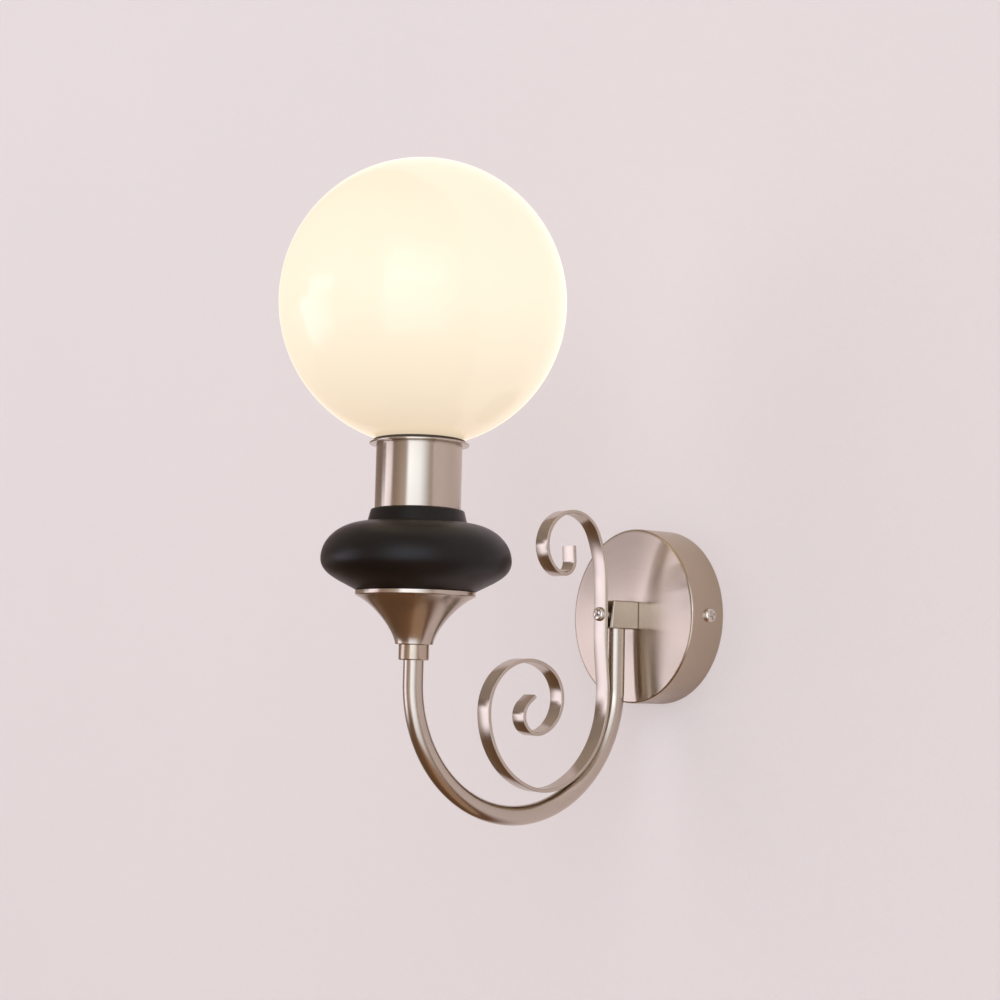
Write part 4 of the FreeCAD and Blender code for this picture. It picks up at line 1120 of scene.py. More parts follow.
@dataclass
class CrossScrews:
    """Cross-recessed pan heads on both sides of the canopy and in the scroll."""

    shank: float = 2.0 * MM
    head: float = 4.0 * MM
    head_height: float = 2.4 * MM
    length: float = 6.4 * MM
    arm: float = 2.7 * MM
    slot: float = 1.0 * MM
    recess: float = 2.0 * MM

    def head_mesh(self) -> bpy.types.Mesh:
        """Return one screw, its head's underside at height 0 and its top along Z."""
        pan = (
            Outline((0.0, -self.length)).line(self.shank * 0.8, -self.length)
            .line(self.shank, -self.length + self.shank * 0.2)
            .line(self.shank, 0.0).line(self.head, 0.0, 0.2 * MM)
            .line(self.head, 0.5 * MM)
            .curve((self.head, self.head_height * 0.75), (self.head * 0.8, self.head_height),
                   (self.head * 0.45, self.head_height), 14)
            .line(0.0, self.head_height)
        )
        mesh = Lathe(segments=72).mesh("pan_head", pan.points(4), closed=False)
        screw = bpy.data.objects.new("pan_head", mesh)
        cutter = bpy.data.objects.new("cross_cutter", self._cross())
        for item in (screw, cutter):
            bpy.context.scene.collection.objects.link(item)
        cut = screw.modifiers.new("cross", "BOOLEAN")
        cut.object, cut.operation, cut.solver = cutter, "DIFFERENCE", "EXACT"
        graph = bpy.context.evaluated_depsgraph_get()
        result = bpy.data.meshes.new_from_object(screw.evaluated_get(graph), depsgraph=graph)
        for item in (screw, cutter):
            bpy.data.objects.remove(item)
        finish_mesh(result, 32.0)
        return result

    def _cross(self) -> bpy.types.Mesh:
        """Return the tapered cross that is cut out of the head."""
        build = bmesh.new()
        top, low = self.head_height + 0.4 * MM, self.head_height - self.recess
        corners = [(self.slot, self.arm), (self.slot, self.slot), (self.arm, self.slot),
                   (self.arm, -self.slot), (self.slot, -self.slot), (self.slot, -self.arm)]
        corners += [(-x, -y) for x, y in corners]
        taper = 0.5
        high_ring = [build.verts.new((x, y, top)) for x, y in corners]
        low_ring = [build.verts.new((x * taper, y * taper, low)) for x, y in corners]
        build.faces.new(high_ring)
        build.faces.new(list(reversed(low_ring)))
        for number in range(len(corners)):
            after = (number + 1) % len(corners)
            build.faces.new((high_ring[number], low_ring[number], low_ring[after],
                             high_ring[after]))
        bmesh.ops.recalc_face_normals(build, faces=build.faces)
        mesh = bpy.data.meshes.new("cross_cutter")
        build.to_mesh(mesh)
        build.free()
        return mesh

    def build(self, block: ArmBlock, canopy: Canopy, strap_thickness: float) -> None:
        """Put a screw in each of its three places.

        Args:
            block: Bar that carries the scroll.
            canopy: Cover with a screw on each side.
            strap_thickness: Thickness of the scroll under the screw's head.
        """
        side, depth = canopy.radius, -canopy.screw_depth
        front = -(block.start + block.length + strap_thickness)
        places = [(0.0, front, 0.0), (side, depth, 0.0), (-side, depth, 0.0)]
        ways = [(0.0, -1.0, 0.0), (1.0, 0.0, 0.0), (-1.0, 0.0, 0.0)]
        points = bpy.data.meshes.new("screw_places")
        points.from_pydata(places, [], [])
        facing = points.attributes.new("facing", "FLOAT_VECTOR", "POINT")
        for item, way in zip(facing.data, ways):
            item.vector = way
        screw = bpy.data.objects.new("screw_model", self.head_mesh())
        bpy.context.scene.collection.objects.link(screw)
        material = BRIGHT.build()
        mesh = fastener_tree().shape("cross_head_screws", points, {
            "Screw": screw, "Scale": 1.0, "Spin Seed": 4, "Material": material})
        bpy.data.objects.remove(screw)
        settle(new_piece("cross_head_screws", mesh, material), Body.FIXTURE, "bright_steel",
               "strap_screw", "canopy_screw_right", "canopy_screw_left")


@dataclass
class HiddenHardware:
    """Pieces inside the canopy and the lamp that keep the frame's own shape."""

    zinc: tuple[str, ...] = ("wall_bracket", "stud_washer", "stud_nut", "earth_washer",
                             "rod_washer", "rod_nut", "threaded_rod", "hollow_stud",
                             "terminal_fixing_screw", "earth_screw")
    brass: tuple[str, ...] = ("terminal_insert_right", "terminal_insert_left", "centre_contact",
                              "bulb_contact")
    white: tuple[str, ...] = ("terminal_block",)
    black: tuple[str, ...] = ("bulb_insulator",)

    def dress(self, nodes: dict[str, bpy.types.Object]) -> None:
        """Give each node its finish.

        Args:
            nodes: The frame's nodes by name.
        """
        for names, finish in ((self.zinc, ZINC), (self.brass, BRASS),
                              (self.white, WHITE_PLASTIC), (self.black, BLACK_PLASTIC)):
            for name in names:
                self._dress_one(nodes[name], finish.build())

    def _dress_one(self, node: bpy.types.Object, material: bpy.types.Material) -> None:
        """Put one material in all the slots of a node.

        Args:
            node: Node of the frame.
            material: Its finish.
        """
        if not node.material_slots:
            node.data.materials.append(material)
        for slot in node.material_slots:
            slot.material = material
        log.info("%s: kept from the frame, finish %s", node.name, material.name)


# --------------------------------------------------------------------------------------------
# Arm
# --------------------------------------------------------------------------------------------


@dataclass
class BentTube:
    """Round tube from the block, round the bend and up to the lamp."""

    radius: float = 5.3 * MM
    lamp: float = -176.0 * MM
    wall_end: float = -35.5 * MM
    top_at_wall: float = -3.7 * MM
    top_at_lamp: float = -22.1 * MM
    bend_centre: float = -40.5 * MM

    def points(self) -> list[Vector]:
        """Return the middle line from the lamp's end to the block's."""
        bend = (self.wall_end - self.lamp) / 2
        runs = [Run((self.top_at_lamp - self.bend_centre) / MM), Run(bend / MM, 180.0),
                Run((self.top_at_wall - self.bend_centre) / MM)]
        path = bent_path((self.lamp, self.top_at_lamp), (0.0, -1.0), runs, 1.0)
        return [Vector((0.0, y, z)) for y, z in path]

    def build(self, sweep: ShapeTree) -> None:
        """Draw the round section along the middle line.

        Args:
            sweep: Tree that draws a section along a path.
        """
        material = NICKEL_STRIP.build()
        mesh = sweep.shape("bent_tube", path_mesh("tube_path", self.points()), {
            "Width": self.radius * 2, "Thickness": self.radius * 2,
            "Rounding": self.radius * 0.9999, "Corner Steps": 16, "Closed Ends": True,
            "Material": material})
        map_sweep(mesh)
        finish_mesh(mesh)
        settle(new_piece("bent_tube", mesh, material), Body.FIXTURE, "nickel", "arm_tube")


@dataclass
class ScrollStrap:
    """Flat strip, bent into a small scroll above the block and a large one below."""

    width: float = 10.0 * MM
    thickness: float = 2.0 * MM
    rounding: float = 0.35 * MM
    middle: float = -47.0 * MM
    upper: tuple[Run, ...] = (
        Run(9.0), Run(150.0, 4.0), Run(1.6), Run(66.8, 21.3), Run(19.5, 144.0),
        Run(17.4, 71.0), Run(7.4, 123.5), Run(8.3),
    )
    lower: tuple[Run, ...] = (
        Run(9.0), Run(150.0, 6.0), Run(12.0), Run(72.3, -15.3), Run(51.7, -58.2),
        Run(31.6, -38.2), Run(43.3, -75.0), Run(27.2, -121.5), Run(19.4, -134.0),
        Run(9.7, -154.0), Run(5.2),
    )

    def points(self) -> list[Vector]:
        """Return the middle line from the small scroll's tip to the large one's."""
        above = bent_path((self.middle, 0.0), (0.0, 1.0), self.upper, 2.0)
        below = bent_path((self.middle, 0.0), (0.0, -1.0), self.lower, 2.0)
        line = list(reversed(above[1:])) + below[1:]
        return [Vector((0.0, y, z)) for y, z in line]

    def build(self, sweep: ShapeTree) -> None:
        """Draw the flat section along the middle line.

        Args:
            sweep: Tree that draws a section along a path.
        """
        material = NICKEL_STRIP.build()
        mesh = sweep.shape("scroll_strip", path_mesh("strap_path", self.points()), {
            "Width": self.width, "Thickness": self.thickness, "Rounding": self.rounding,
            "Corner Steps": 4, "Closed Ends": True, "Material": material})
        map_sweep(mesh)
        finish_mesh(mesh, 30.0)
        settle(new_piece("scroll_strip", mesh, material), Body.FIXTURE, "nickel",
               "scroll_strap")


# --------------------------------------------------------------------------------------------
# Lamp
# --------------------------------------------------------------------------------------------


@dataclass
class LampStack:
    """Pieces that stand on each other over the tube's front end."""

    axis: float = -176.0 * MM
    bore: float = 4.25 * MM
    sheet: float = 1.0 * MM
    ferrule_low: float = -29.2 * MM
    ferrule_radius: float = 7.9 * MM
    ferrule_bore: float = 5.35 * MM
    cup_low: float = -21.1 * MM
    cup_neck: float = 9.9 * MM
    cup_radius: float = 31.4 * MM
    rim_top: float = 6.4 * MM
    rim_height: float = 2.5 * MM
    wood_radius: float = 49.8 * MM
    wood_foot: float = 30.9 * MM
    wood_shoulder: float = 26.2 * MM
    wood_collar: float = 24.4 * MM
    collar_height: float = 7.0 * MM
    wood_top: float = 48.9 * MM
    cover_radius: float = 22.6 * MM
    plate: float = 83.1 * MM
    plate_radius: float = 26.2 * MM
    holder_radius: float = 14.2 * MM
    ring_radius: float = 24.2 * MM
    ring_height: float = 1.6 * MM
    ribs: int = 30
    rib_height: float = 0.35 * MM

    def lathe(self, segments: int = 224) -> Lathe:
        """Return a lathe on the lamp's axis."""
        return Lathe(centre=(0.0, self.axis, 0.0), segments=segments)

    def make(self, name: str, outline: Outline, finish: bpy.types.Material, slot: str,
             node: str, steps: int = 6) -> bpy.types.Object:
        """Turn one piece of the stack and tie it to the fixture.

        Args:
            name: Name of the piece.
            outline: Its outline.
            finish: Its material.
            slot: Passed on to settle, which doesn't use it.
            node: CAD node that it stands for.
            steps: Steps in a rounded corner.

        Returns:
            The piece.
        """
        mesh = self.lathe().mesh(name, outline.points(steps))
        return settle(new_piece(name, mesh, finish), Body.FIXTURE, slot, node)

    def build(self) -> None:
        """Make the stack from the ferrule to the globe's seat."""
        self._ferrule()
        self._cup()
        self._wood()
        self._socket_cover()
        self._gallery()

    def _ferrule(self) -> None:
        """Make the collar over the tube's end."""
        low, top, radius = self.ferrule_low, self.cup_low, self.ferrule_radius
        outline = (
            Outline((self.ferrule_bore, low)).line(radius, low, 0.8 * MM)
            .line(radius, top, 0.3 * MM).line(self.bore, top)
            .line(self.bore, top - self.sheet).line(self.ferrule_bore, top - self.sheet)
        )
        self.make("turned_ferrule", outline, NICKEL_SHADED.build(), "nickel", "tube_ferrule")

    def _cup(self) -> None:
        """Make the spun bell with its rolled rim."""
        low, rim, neck = self.cup_low, self.cup_radius, self.cup_neck
        bend = self.rim_top - self.rim_height
        flare = bend - 4.9 * MM
        floor, handle = low + self.sheet, low + 6.1 * MM
        outline = (
            Outline((self.bore, low)).line(neck, low, 0.4 * MM)
            .curve((10.2 * MM, handle), (20.5 * MM, flare), (rim - 0.35 * MM, bend), 48)
            .line(rim, bend + 0.35 * MM)
            .line(rim, self.rim_top, 0.45 * MM).line(rim - self.sheet, self.rim_top, 0.4 * MM)
            .line(rim - self.sheet, bend + 0.5 * MM)
            .curve((19.6 * MM, flare + 0.9 * MM), (9.2 * MM, handle), (neck - self.sheet, floor),
                   36)
            .line(self.bore, floor)
        )
        self.make("spun_cup", outline, NICKEL_SPUN.build(), "nickel", "cup")

    def _wood(self) -> None:
        """Make the turned wooden body with its collar."""
        seat = self.rim_top
        belly, collar = seat + 16.3 * MM, self.wood_top - self.collar_height
        widest, shoulder, round_share = self.wood_radius, self.wood_shoulder, 0.5523
        low, spigot = seat - 2.0 * MM, self.wood_foot - 0.8 * MM
        outline = (
            Outline((self.bore, low)).line(spigot, low).line(spigot, seat)
            .line(self.wood_foot, seat)
            .curve((40.5 * MM, seat + 5.3 * MM), (widest, seat + 8.15 * MM), (widest, belly), 40)
            .curve((widest, belly + (collar - belly) * round_share),
                   (shoulder + (widest - shoulder) * round_share, collar), (shoulder, collar), 40)
            .line(self.wood_collar, self.wood_top, 1.1 * MM).line(self.bore, self.wood_top)
        )
        self.make("turned_wood_body", outline, WOOD.build(), "black_wood", "wood_body", 8)

    def _socket_cover(self) -> None:
        """Make the drawn cylinder round the lampholder."""
        low, top, outer = self.wood_top, self.plate, self.cover_radius
        inner, floor = outer - self.sheet, low + self.sheet
        outline = (
            Outline((self.bore, low)).line(outer, low, 0.45 * MM).line(outer, top, 0.2 * MM)
            .line(inner, top, 0.2 * MM).line(inner, floor).line(self.bore, floor)
        )
        self.make("drawn_socket_cover", outline, NICKEL.build(), "nickel", "socket_cover")

    def _gallery(self) -> None:
        """Make the globe's seat, its clamping ring and the soft ring."""
        low, high = self.plate, self.plate + self.sheet
        lip, spigot, hole, edge = 21.4 * MM, 19.4 * MM, self.holder_radius, self.plate_radius
        foot, top = low - 2.0 * MM, high + 3.5 * MM
        outline = (
            Outline((lip - self.sheet, foot)).line(lip, foot)
            .line(lip, low).line(edge, low, 0.3 * MM).line(edge, high, 0.3 * MM)
            .line(spigot, high).line(spigot, top, 0.3 * MM)
            .line(spigot - self.sheet, top).line(spigot - self.sheet, high).line(hole, high)
            .line(hole, low).line(lip - self.sheet, low)
        )
        self.make("pressed_gallery", outline, NICKEL.build(), "nickel", "gallery_plate")
        outer, inner, top = self.ring_radius, spigot + 0.3 * MM, high + self.ring_height
        soft = (
            Outline((inner, high)).line(outer, high, 0.3 * MM)
            .line(outer, top, 0.5 * MM).line(inner, top, 0.3 * MM)
        )
        self.make("soft_globe_ring", soft, SILICONE.build(), "silicone", "globe_gasket")
        self._shade_ring(high)

    def _shade_ring(self, low: float) -> None:
        """Make the ribbed plastic ring that clamps the seat.

        Args:
            low: Height of its underside.
        """
        outer, inner, top = 17.2 * MM, 14.05 * MM, low + 4.0 * MM
        outline = (
            Outline((inner, low)).line(outer - 0.4 * MM, low).line(outer - 0.4 * MM, top, 0.3 * MM)
            .line(inner, top, 0.2 * MM)
        )
        lathe = self.lathe(240)
        mesh = lathe.mesh("ribbed_clamp_ring", outline.points(3))
        for vertex in mesh.vertices:
            place = Vector((vertex.co.x, vertex.co.y - self.axis))
            if place.length > outer - 0.9 * MM:
                angle = math.atan2(place.y, place.x)
                wave = max(0.0, math.cos(angle * self.ribs)) * self.rib_height
                place *= (place.length + wave) / place.length
                vertex.co.x, vertex.co.y = place.x, place.y + self.axis
        mesh.update()
        settle(new_piece("ribbed_clamp_ring", mesh, BLACK_PLASTIC.build()), Body.FIXTURE,
               "black_plastic", "shade_ring")


@dataclass
class Lampholder:
    """Moulded holder with its rolled screw shell."""

    axis: float = -176.0 * MM
    low: float = 55.1 * MM
    radius: float = 14.0 * MM
    height: float = 37.0 * MM
    entry: float = 4.05 * MM
    shell_seat: float = 7.75 * MM
    rivet_hole: float = 1.95 * MM
    chamber: float = 9.0 * MM
    shell_height: float = 17.0 * MM

    def build(self) -> None:
        """Make the holder with a chamfered mouth and its thread shell."""
        low, top = self.low, self.low + self.height
        base, ceiling, inside = low + 6.0 * MM, low + 14.0 * MM, low + 17.0 * MM
        outline = (
            Outline((self.entry, low)).line(self.radius, low, 0.8 * MM)
            .line(self.radius, top, 1.0 * MM).line(8.6 * MM, top, 0.3 * MM)
            .line(self.shell_seat, top - 1.2 * MM).line(self.shell_seat, inside)
            .line(self.rivet_hole, inside).line(self.rivet_hole, ceiling)
            .line(self.chamber, ceiling).line(self.chamber, base).line(self.entry, base)
        )
        lathe = Lathe(centre=(0.0, self.axis, 0.0), segments=128)
        mesh = lathe.mesh("moulded_lampholder", outline.points(5))
        settle(new_piece("moulded_lampholder", mesh, BLACK_PLASTIC.build()), Body.FIXTURE,
               "black_plastic", "lampholder_body")
        shell = rolled_thread("rolled_holder_shell", self.axis, inside, self.shell_height,
                              7.62 * MM, -0.3 * MM, 0.07 * MM)
        settle(new_piece("rolled_holder_shell", shell, BRASS.build()), Body.FIXTURE, "brass",
               "thread_shell")


def rolled_thread(
    name: str, axis: float, low: float, height: float, radius: float, wall: float, depth: float
) -> bpy.types.Mesh:
    """Make a thin tube whose wall waves along a rolled screw thread.

    Args:
        name: Name of the mesh.
        axis: Place of the lamp's axis along Y.
        low: Lower end.
        height: Length of the tube.
        radius: Mean radius of the outside.
        wall: Thickness, negative for the inside of the wall.
        depth: Height of the wave on each side.

    Returns:
        The mesh.
    """
    pitch, around, steps = 2.82 * MM, 96, 96
    build = bmesh.new()
    layer = build.loops.layers.uv.new(BRUSH_MAP)
    sheets = []
    for offset in (0.0, wall):
        grid = []
        for row in range(steps + 1):
            z = height * row / steps
            fade = min(1.0, row / 8, (steps - row) / 8)
            ring = []
            for number in range(around):
                angle = math.tau * number / around
                wave = math.cos(math.tau * z / pitch - angle) * depth * fade
                r = radius + wave + offset
                ring.append(build.verts.new((r * math.cos(angle), axis + r * math.sin(angle),
                                             low + z)))
            grid.append(ring)
        sheets.append(grid)
    outer, inner = sheets
    bands = [(outer[n], outer[n + 1]) for n in range(steps)]
    bands += [(inner[n + 1], inner[n]) for n in range(steps)]
    bands += [(inner[0], outer[0]), (outer[-1], inner[-1])]
    for first, second in bands:
        for number in range(around):
            after = (number + 1) % around
            face = build.faces.new((first[number], first[after], second[after], second[number]))
            for loop in face.loops:
                loop[layer].uv = (loop.vert.co.x, loop.vert.co.z)
    bmesh.ops.recalc_face_normals(build, faces=build.faces)
    mesh = bpy.data.meshes.new(name)
    build.to_mesh(mesh)
    build.free()
    finish_mesh(mesh, 60.0)
    return mesh


@dataclass
class Globe:
    """Blown opal globe with a ground mouth."""

    centre: float = 159.07 * MM
    axis: float = -176.0 * MM
    radius: float = 76.0 * MM
    wall: float = 2.5 * MM
    mouth: float = 20.0 * MM

    def build(self) -> None:
        """Make the shell as one closed wall, joined at the mouth by a straight band at the mouth's
        radius.
        """
        outside = self._arc(self.radius)
        inside = list(reversed(self._arc(self.radius - self.wall)))
        points = outside + inside
        lathe = Lathe(centre=(0.0, self.axis, 0.0), segments=256)
        mesh = lathe.mesh("blown_globe", points)
        settle(new_piece("blown_globe", mesh, OPAL_GLASS.build()), Body.GLOBE, "opal_glass",
               "globe")

    def _arc(self, radius: float) -> list[Point2]:
        """Return one face of the wall from the mouth up to the top.

        Args:
            radius: Radius of the face.

        Returns:
            Points of radius and height.
        """
        start = math.asin(self.mouth / radius)
        count = 120
        points = []
        for number in range(count + 1):
            angle = start + (math.pi - start) * number / count
            reach = 0.0 if number == count else radius * math.sin(angle)
            points.append((reach, self.centre - radius * math.cos(angle)))
        return points


@dataclass
class Bulb:
    """Candle bulb with a rolled cap, a ribbed housing and an opal diffuser."""

    axis: float = -176.0 * MM
    cap_low: float = 75.8 * MM
    cap_height: float = 18.6 * MM
    housing_low: float = 94.4 * MM
    housing_height: float = 23.0 * MM
    diffuser_height: float = 49.5 * MM
    radius: float = 17.2 * MM

    def build(self) -> None:
        """Make the cap, the housing and the diffuser."""
        self._cap()
        self._housing()
        self._diffuser()

    def _cap(self) -> None:
        """Make the rolled screw cap."""
        mesh = rolled_thread("rolled_bulb_cap", self.axis, self.cap_low, self.cap_height,
                             6.78 * MM, -0.5 * MM, 0.16 * MM)
        settle(new_piece("rolled_bulb_cap", mesh, ZINC.build()), Body.BULB, "nickel", "bulb_cap")

    def _housing(self) -> None:
        """Make the moulded housing with its shallow ribs."""
        base, tall = self.housing_low, self.housing_height
        neck, widest = 8.4 * MM, self.radius
        outline = (
            Outline((0.0, base - 8.0 * MM)).line(6.15 * MM, base - 8.0 * MM, 0.3 * MM)
            .line(6.15 * MM, base).line(neck, base, 0.3 * MM)
            .curve((neck + (widest - neck) * 0.35, base + tall * 0.45),
                   (widest, base + tall * 0.7), (widest, base + tall), 30)
            .line(0.0, base + tall)
        )
        lathe = Lathe(centre=(0.0, self.axis, 0.0), segments=240)
        mesh = lathe.mesh("ribbed_bulb_housing", outline.points(3))
        for vertex in mesh.vertices:
            share = (vertex.co.z - base) / tall
            place = Vector((vertex.co.x, vertex.co.y - self.axis))
            if 0.12 < share < 0.9 and place.length > neck:
                angle = math.atan2(place.y, place.x)
                groove = max(0.0, math.cos(angle * 24)) * 0.35 * MM
                groove *= min(1.0, (share - 0.12) * 12, (0.9 - share) * 12)
                place *= (place.length - groove) / place.length
                vertex.co.x, vertex.co.y = place.x, place.y + self.axis
        mesh.update()
        settle(new_piece("ribbed_bulb_housing", mesh, WHITE_PLASTIC.build()), Body.BULB,
               "white_plastic", "bulb_housing")

    def _diffuser(self) -> None:
        """Make the opal candle."""
        low, tall, widest, wall = (self.housing_low + self.housing_height,
                                   self.diffuser_height, self.radius, 1.0 * MM)
        outline = (
            Outline((widest - wall, low)).line(widest - 0.1 * MM, low)
            .curve((widest * 1.05, low + tall * 0.28), (widest * 0.95, low + tall * 0.6),
                   (widest * 0.5, low + tall * 0.83), 36)
            .curve((widest * 0.32, low + tall * 0.92), (widest * 0.17, low + tall),
                   (0.0, low + tall), 20)
            .line(0.0, low + tall - wall)
            .curve((widest * 0.17 - wall * 0.5, low + tall - wall),
                   (widest * 0.32 - wall, low + tall * 0.92 - wall * 0.5),
                   (widest * 0.5 - wall, low + tall * 0.83 - wall * 0.5), 16)
            .curve((widest * 0.95 - wall, low + tall * 0.6),
                   (widest * 1.05 - wall, low + tall * 0.28), (widest - wall, low), 28)
        )
        outline.corners.pop()
        lathe = Lathe(centre=(0.0, self.axis, 0.0), segments=128)
        mesh = lathe.mesh("candle_diffuser", outline.points())
        settle(new_piece("candle_diffuser", mesh, OPAL_PLASTIC.build()), Body.BULB,
               "opal_plastic", "bulb_diffuser")


# --------------------------------------------------------------------------------------------
# Studio
# --------------------------------------------------------------------------------------------


@dataclass(frozen=True)
class Band:
    """Colour of the room in one direction, in degrees from straight out of the wall."""

    azimuth: float
    colour: Colour


@dataclass(frozen=True)
class Ring:
    """One storey of the room: it fades in between two elevations in degrees."""

    begins: float
    full: float
    bands: tuple[Band, ...]


@dataclass
class Studio:
    """Pale wall and floor, soft lights, the room that the metal reflects and the camera.

    The mirrored colours tint the wall where metal shows it: plainly, low down and far left.
    """

    wall_colour: Colour = (0.80, 0.745, 0.765)
    seen_beyond: Colour = linear(228, 218, 218)
    steady: float = 0.6
    floor_colour: Colour = linear(222, 214, 212)
    floor_level: float = -0.62
    wall_gap: float = 0.3 * MM
    wall_top: float = 3.0
    half_width: float = 4.0
    floor_depth: float = 4.0
    box_radius: float = 42.0 * MM
    box_steps: int = 96
    mirrored: Colour = (1.0, 1.0, 0.99)
    mirrored_low: Colour = (0.22, 0.12, 0.06)
    mirrored_left: Colour = (0.46, 0.39, 0.35)
    rings: tuple[Ring, ...] = (
        Ring(-90, -90, (
            Band(-180, (0.36, 0.25, 0.17)), Band(-130, (0.26, 0.14, 0.075)),
            Band(-105, (0.17, 0.09, 0.046)), Band(-60, (0.16, 0.09, 0.050)),
            Band(20, (0.25, 0.13, 0.07)), Band(50, (0.46, 0.28, 0.18)),
            Band(180, (0.40, 0.29, 0.22)),
        )),
        Ring(-42, -30, (
            Band(-180, (0.46, 0.37, 0.31)), Band(-90, (0.26, 0.17, 0.12)),
            Band(-60, (0.17, 0.10, 0.060)), Band(14, (0.26, 0.16, 0.10)),
            Band(28, (1.30, 1.34, 1.48)), Band(62, (1.20, 1.22, 1.34)),
            Band(84, (0.50, 0.43, 0.39)), Band(180, (0.50, 0.42, 0.37)),
        )),
        Ring(-24, -15, (
            Band(-180, (0.75, 0.67, 0.62)), Band(-92, (0.34, 0.28, 0.25)),
            Band(-58, (0.50, 0.40, 0.36)), Band(-54, (1.76, 1.68, 1.97)),
            Band(-40, (1.66, 1.58, 1.84)), Band(-27, (1.40, 1.32, 1.52)),
            Band(-22, (0.42, 0.33, 0.29)), Band(-6, (0.48, 0.37, 0.30)),
            Band(10, (0.68, 0.56, 0.50)), Band(20, (0.74, 0.62, 0.58)),
            Band(26, (1.60, 1.70, 1.90)), Band(58, (1.46, 1.56, 1.76)),
            Band(72, (1.00, 1.02, 1.12)), Band(84, (0.60, 0.52, 0.48)),
            Band(180, (0.75, 0.67, 0.62)),
        )),
        Ring(-3, 0, (
            Band(-180, (0.75, 0.67, 0.62)), Band(-92, (0.34, 0.28, 0.25)),
            Band(-60, (0.46, 0.36, 0.34)), Band(-56, (1.95, 1.86, 2.18)),
            Band(-42, (1.88, 1.80, 2.10)), Band(-34, (1.14, 1.04, 1.18)),
            Band(-27, (1.06, 0.98, 1.10)), Band(-22, (0.40, 0.30, 0.26)),
            Band(-6, (0.46, 0.35, 0.28)), Band(10, (0.66, 0.54, 0.48)),
            Band(20, (0.72, 0.60, 0.56)), Band(26, (1.50, 1.60, 1.80)),
            Band(56, (1.34, 1.44, 1.62)), Band(70, (1.00, 1.02, 1.12)),
            Band(84, (0.56, 0.48, 0.44)), Band(180, (0.75, 0.67, 0.62)),
        )),
        Ring(3, 5.5, (
            Band(-180, (0.75, 0.67, 0.62)), Band(-92, (0.32, 0.25, 0.21)),
            Band(-46, (0.20, 0.13, 0.09)), Band(-43, (2.00, 1.88, 2.14)),
            Band(-22, (2.00, 1.88, 2.14)), Band(-18, (0.36, 0.27, 0.23)),
            Band(-4, (0.44, 0.33, 0.27)), Band(10, (0.62, 0.51, 0.45)),
            Band(22, (0.70, 0.58, 0.54)), Band(28, (2.36, 2.54, 2.84)),
            Band(58, (2.06, 2.22, 2.52)), Band(72, (1.20, 1.22, 1.34)),
            Band(84, (0.58, 0.51, 0.48)), Band(180, (0.75, 0.67, 0.62)),
        )),
        Ring(10, 15, (
            Band(-180, (0.60, 0.53, 0.49)), Band(-70, (0.36, 0.29, 0.26)),
            Band(18, (0.40, 0.32, 0.28)), Band(30, (1.60, 1.68, 1.84)),
            Band(70, (1.10, 1.13, 1.22)), Band(88, (0.56, 0.48, 0.44)),
            Band(180, (0.60, 0.53, 0.49)),
        )),
        Ring(26, 40, (Band(-180, (0.44, 0.36, 0.30)), Band(180, (0.44, 0.36, 0.30)))),
    )

    middle: Point3 = (0.0, -0.12, 0.05)
    camera_place: Point3 = (0.722166, -0.688317, -0.038949)
    view_right: Point3 = (0.61915361, 0.7849568, 0.02217276)
    view_up: Point3 = (0.06951417, -0.08291226, 0.99412944)
    view_ahead: Point3 = (-0.78218706, 0.6139775, 0.10590105)
    lens: float = 61.2

    def build(self) -> None:
        """Set up everything that isn't part of the light."""
        self._wall()
        self._floor()
        self._room()
        self._lights()
        self._camera()
        bpy.context.scene.view_settings.view_transform = "Standard"

    def _sheet(self, name: str, corners: Sequence[Point3],
               faces: Sequence[tuple[int, ...]], material: bpy.types.Material) -> None:
        """Add one flat piece of the stage.

        Args:
            name: Name of the piece.
            corners: Its points.
            faces: Numbers of the points round each face.
            material: Its paint.
        """
        mesh = bpy.data.meshes.new(name)
        mesh.from_pydata(list(corners), [], list(faces))
        new_piece(name, mesh, material)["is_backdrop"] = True

    def _paint(
        self, name: str, colour: Colour, grain: float, mirrored: bool
    ) -> bpy.types.Material:
        """Return a matt paint with a faint rolled texture, seen from its front only.

        Args:
            name: Name of the material.
            colour: Colour of the paint.
            grain: Scale of the texture.
            mirrored: Whether polished metal shows it.

        Returns:
            The material.
        """
        sheet = MaterialSheet(name, {"Roughness": 0.9, "Specular IOR Level": 0.1})
        marks = sheet.group(handling(), {"Patch Scale": 3.0, "Grit Scale": grain})
        share = sheet.span(marks.outputs["Patches"], -1.0, 1.0, 0.0, 1.0)
        darker = tuple(c * 0.975 for c in colour)
        paint = sheet.mix(share, colour, darker)
        sheet.bump(marks.outputs["Grit"], 0.05 * MM, 0.6)
        light_path = sheet.add("ShaderNodeLightPath")
        glossy = light_path.outputs["Is Glossy Ray"]
        place = sheet.add("ShaderNodeTexCoord")
        side, _, height = sheet.add("ShaderNodeSeparateXYZ", {0: place.outputs["Object"]}).outputs
        tint = sheet.mix(sheet.span(height, -0.41, -0.25, 1.0, 0.0), self.mirrored,
                         self.mirrored_low)
        tint = sheet.mix(sheet.span(side, -0.8, -0.3, 1.0, 0.0), tint, self.mirrored_left,
                         "MULTIPLY")
        sheet.feed("Base Color", sheet.mix(glossy, paint, tint, "MULTIPLY"))
        steady = sheet.add("ShaderNodeEmission", {"Color": (*self.seen_beyond, 1.0),
                                                  "Strength": 1.0})
        share = sheet.math("MULTIPLY", light_path.outputs["Is Camera Ray"], self.steady)
        lit = sheet.add("ShaderNodeMixShader", {
            0: share, 1: sheet.shader.outputs[0], 2: steady.outputs[0]})
        shape = sheet.add("ShaderNodeNewGeometry")
        hidden = shape.outputs["Backfacing"]
        if not mirrored:
            hidden = sheet.math("MAXIMUM", hidden, glossy)
        clear = sheet.add("ShaderNodeBsdfTransparent")
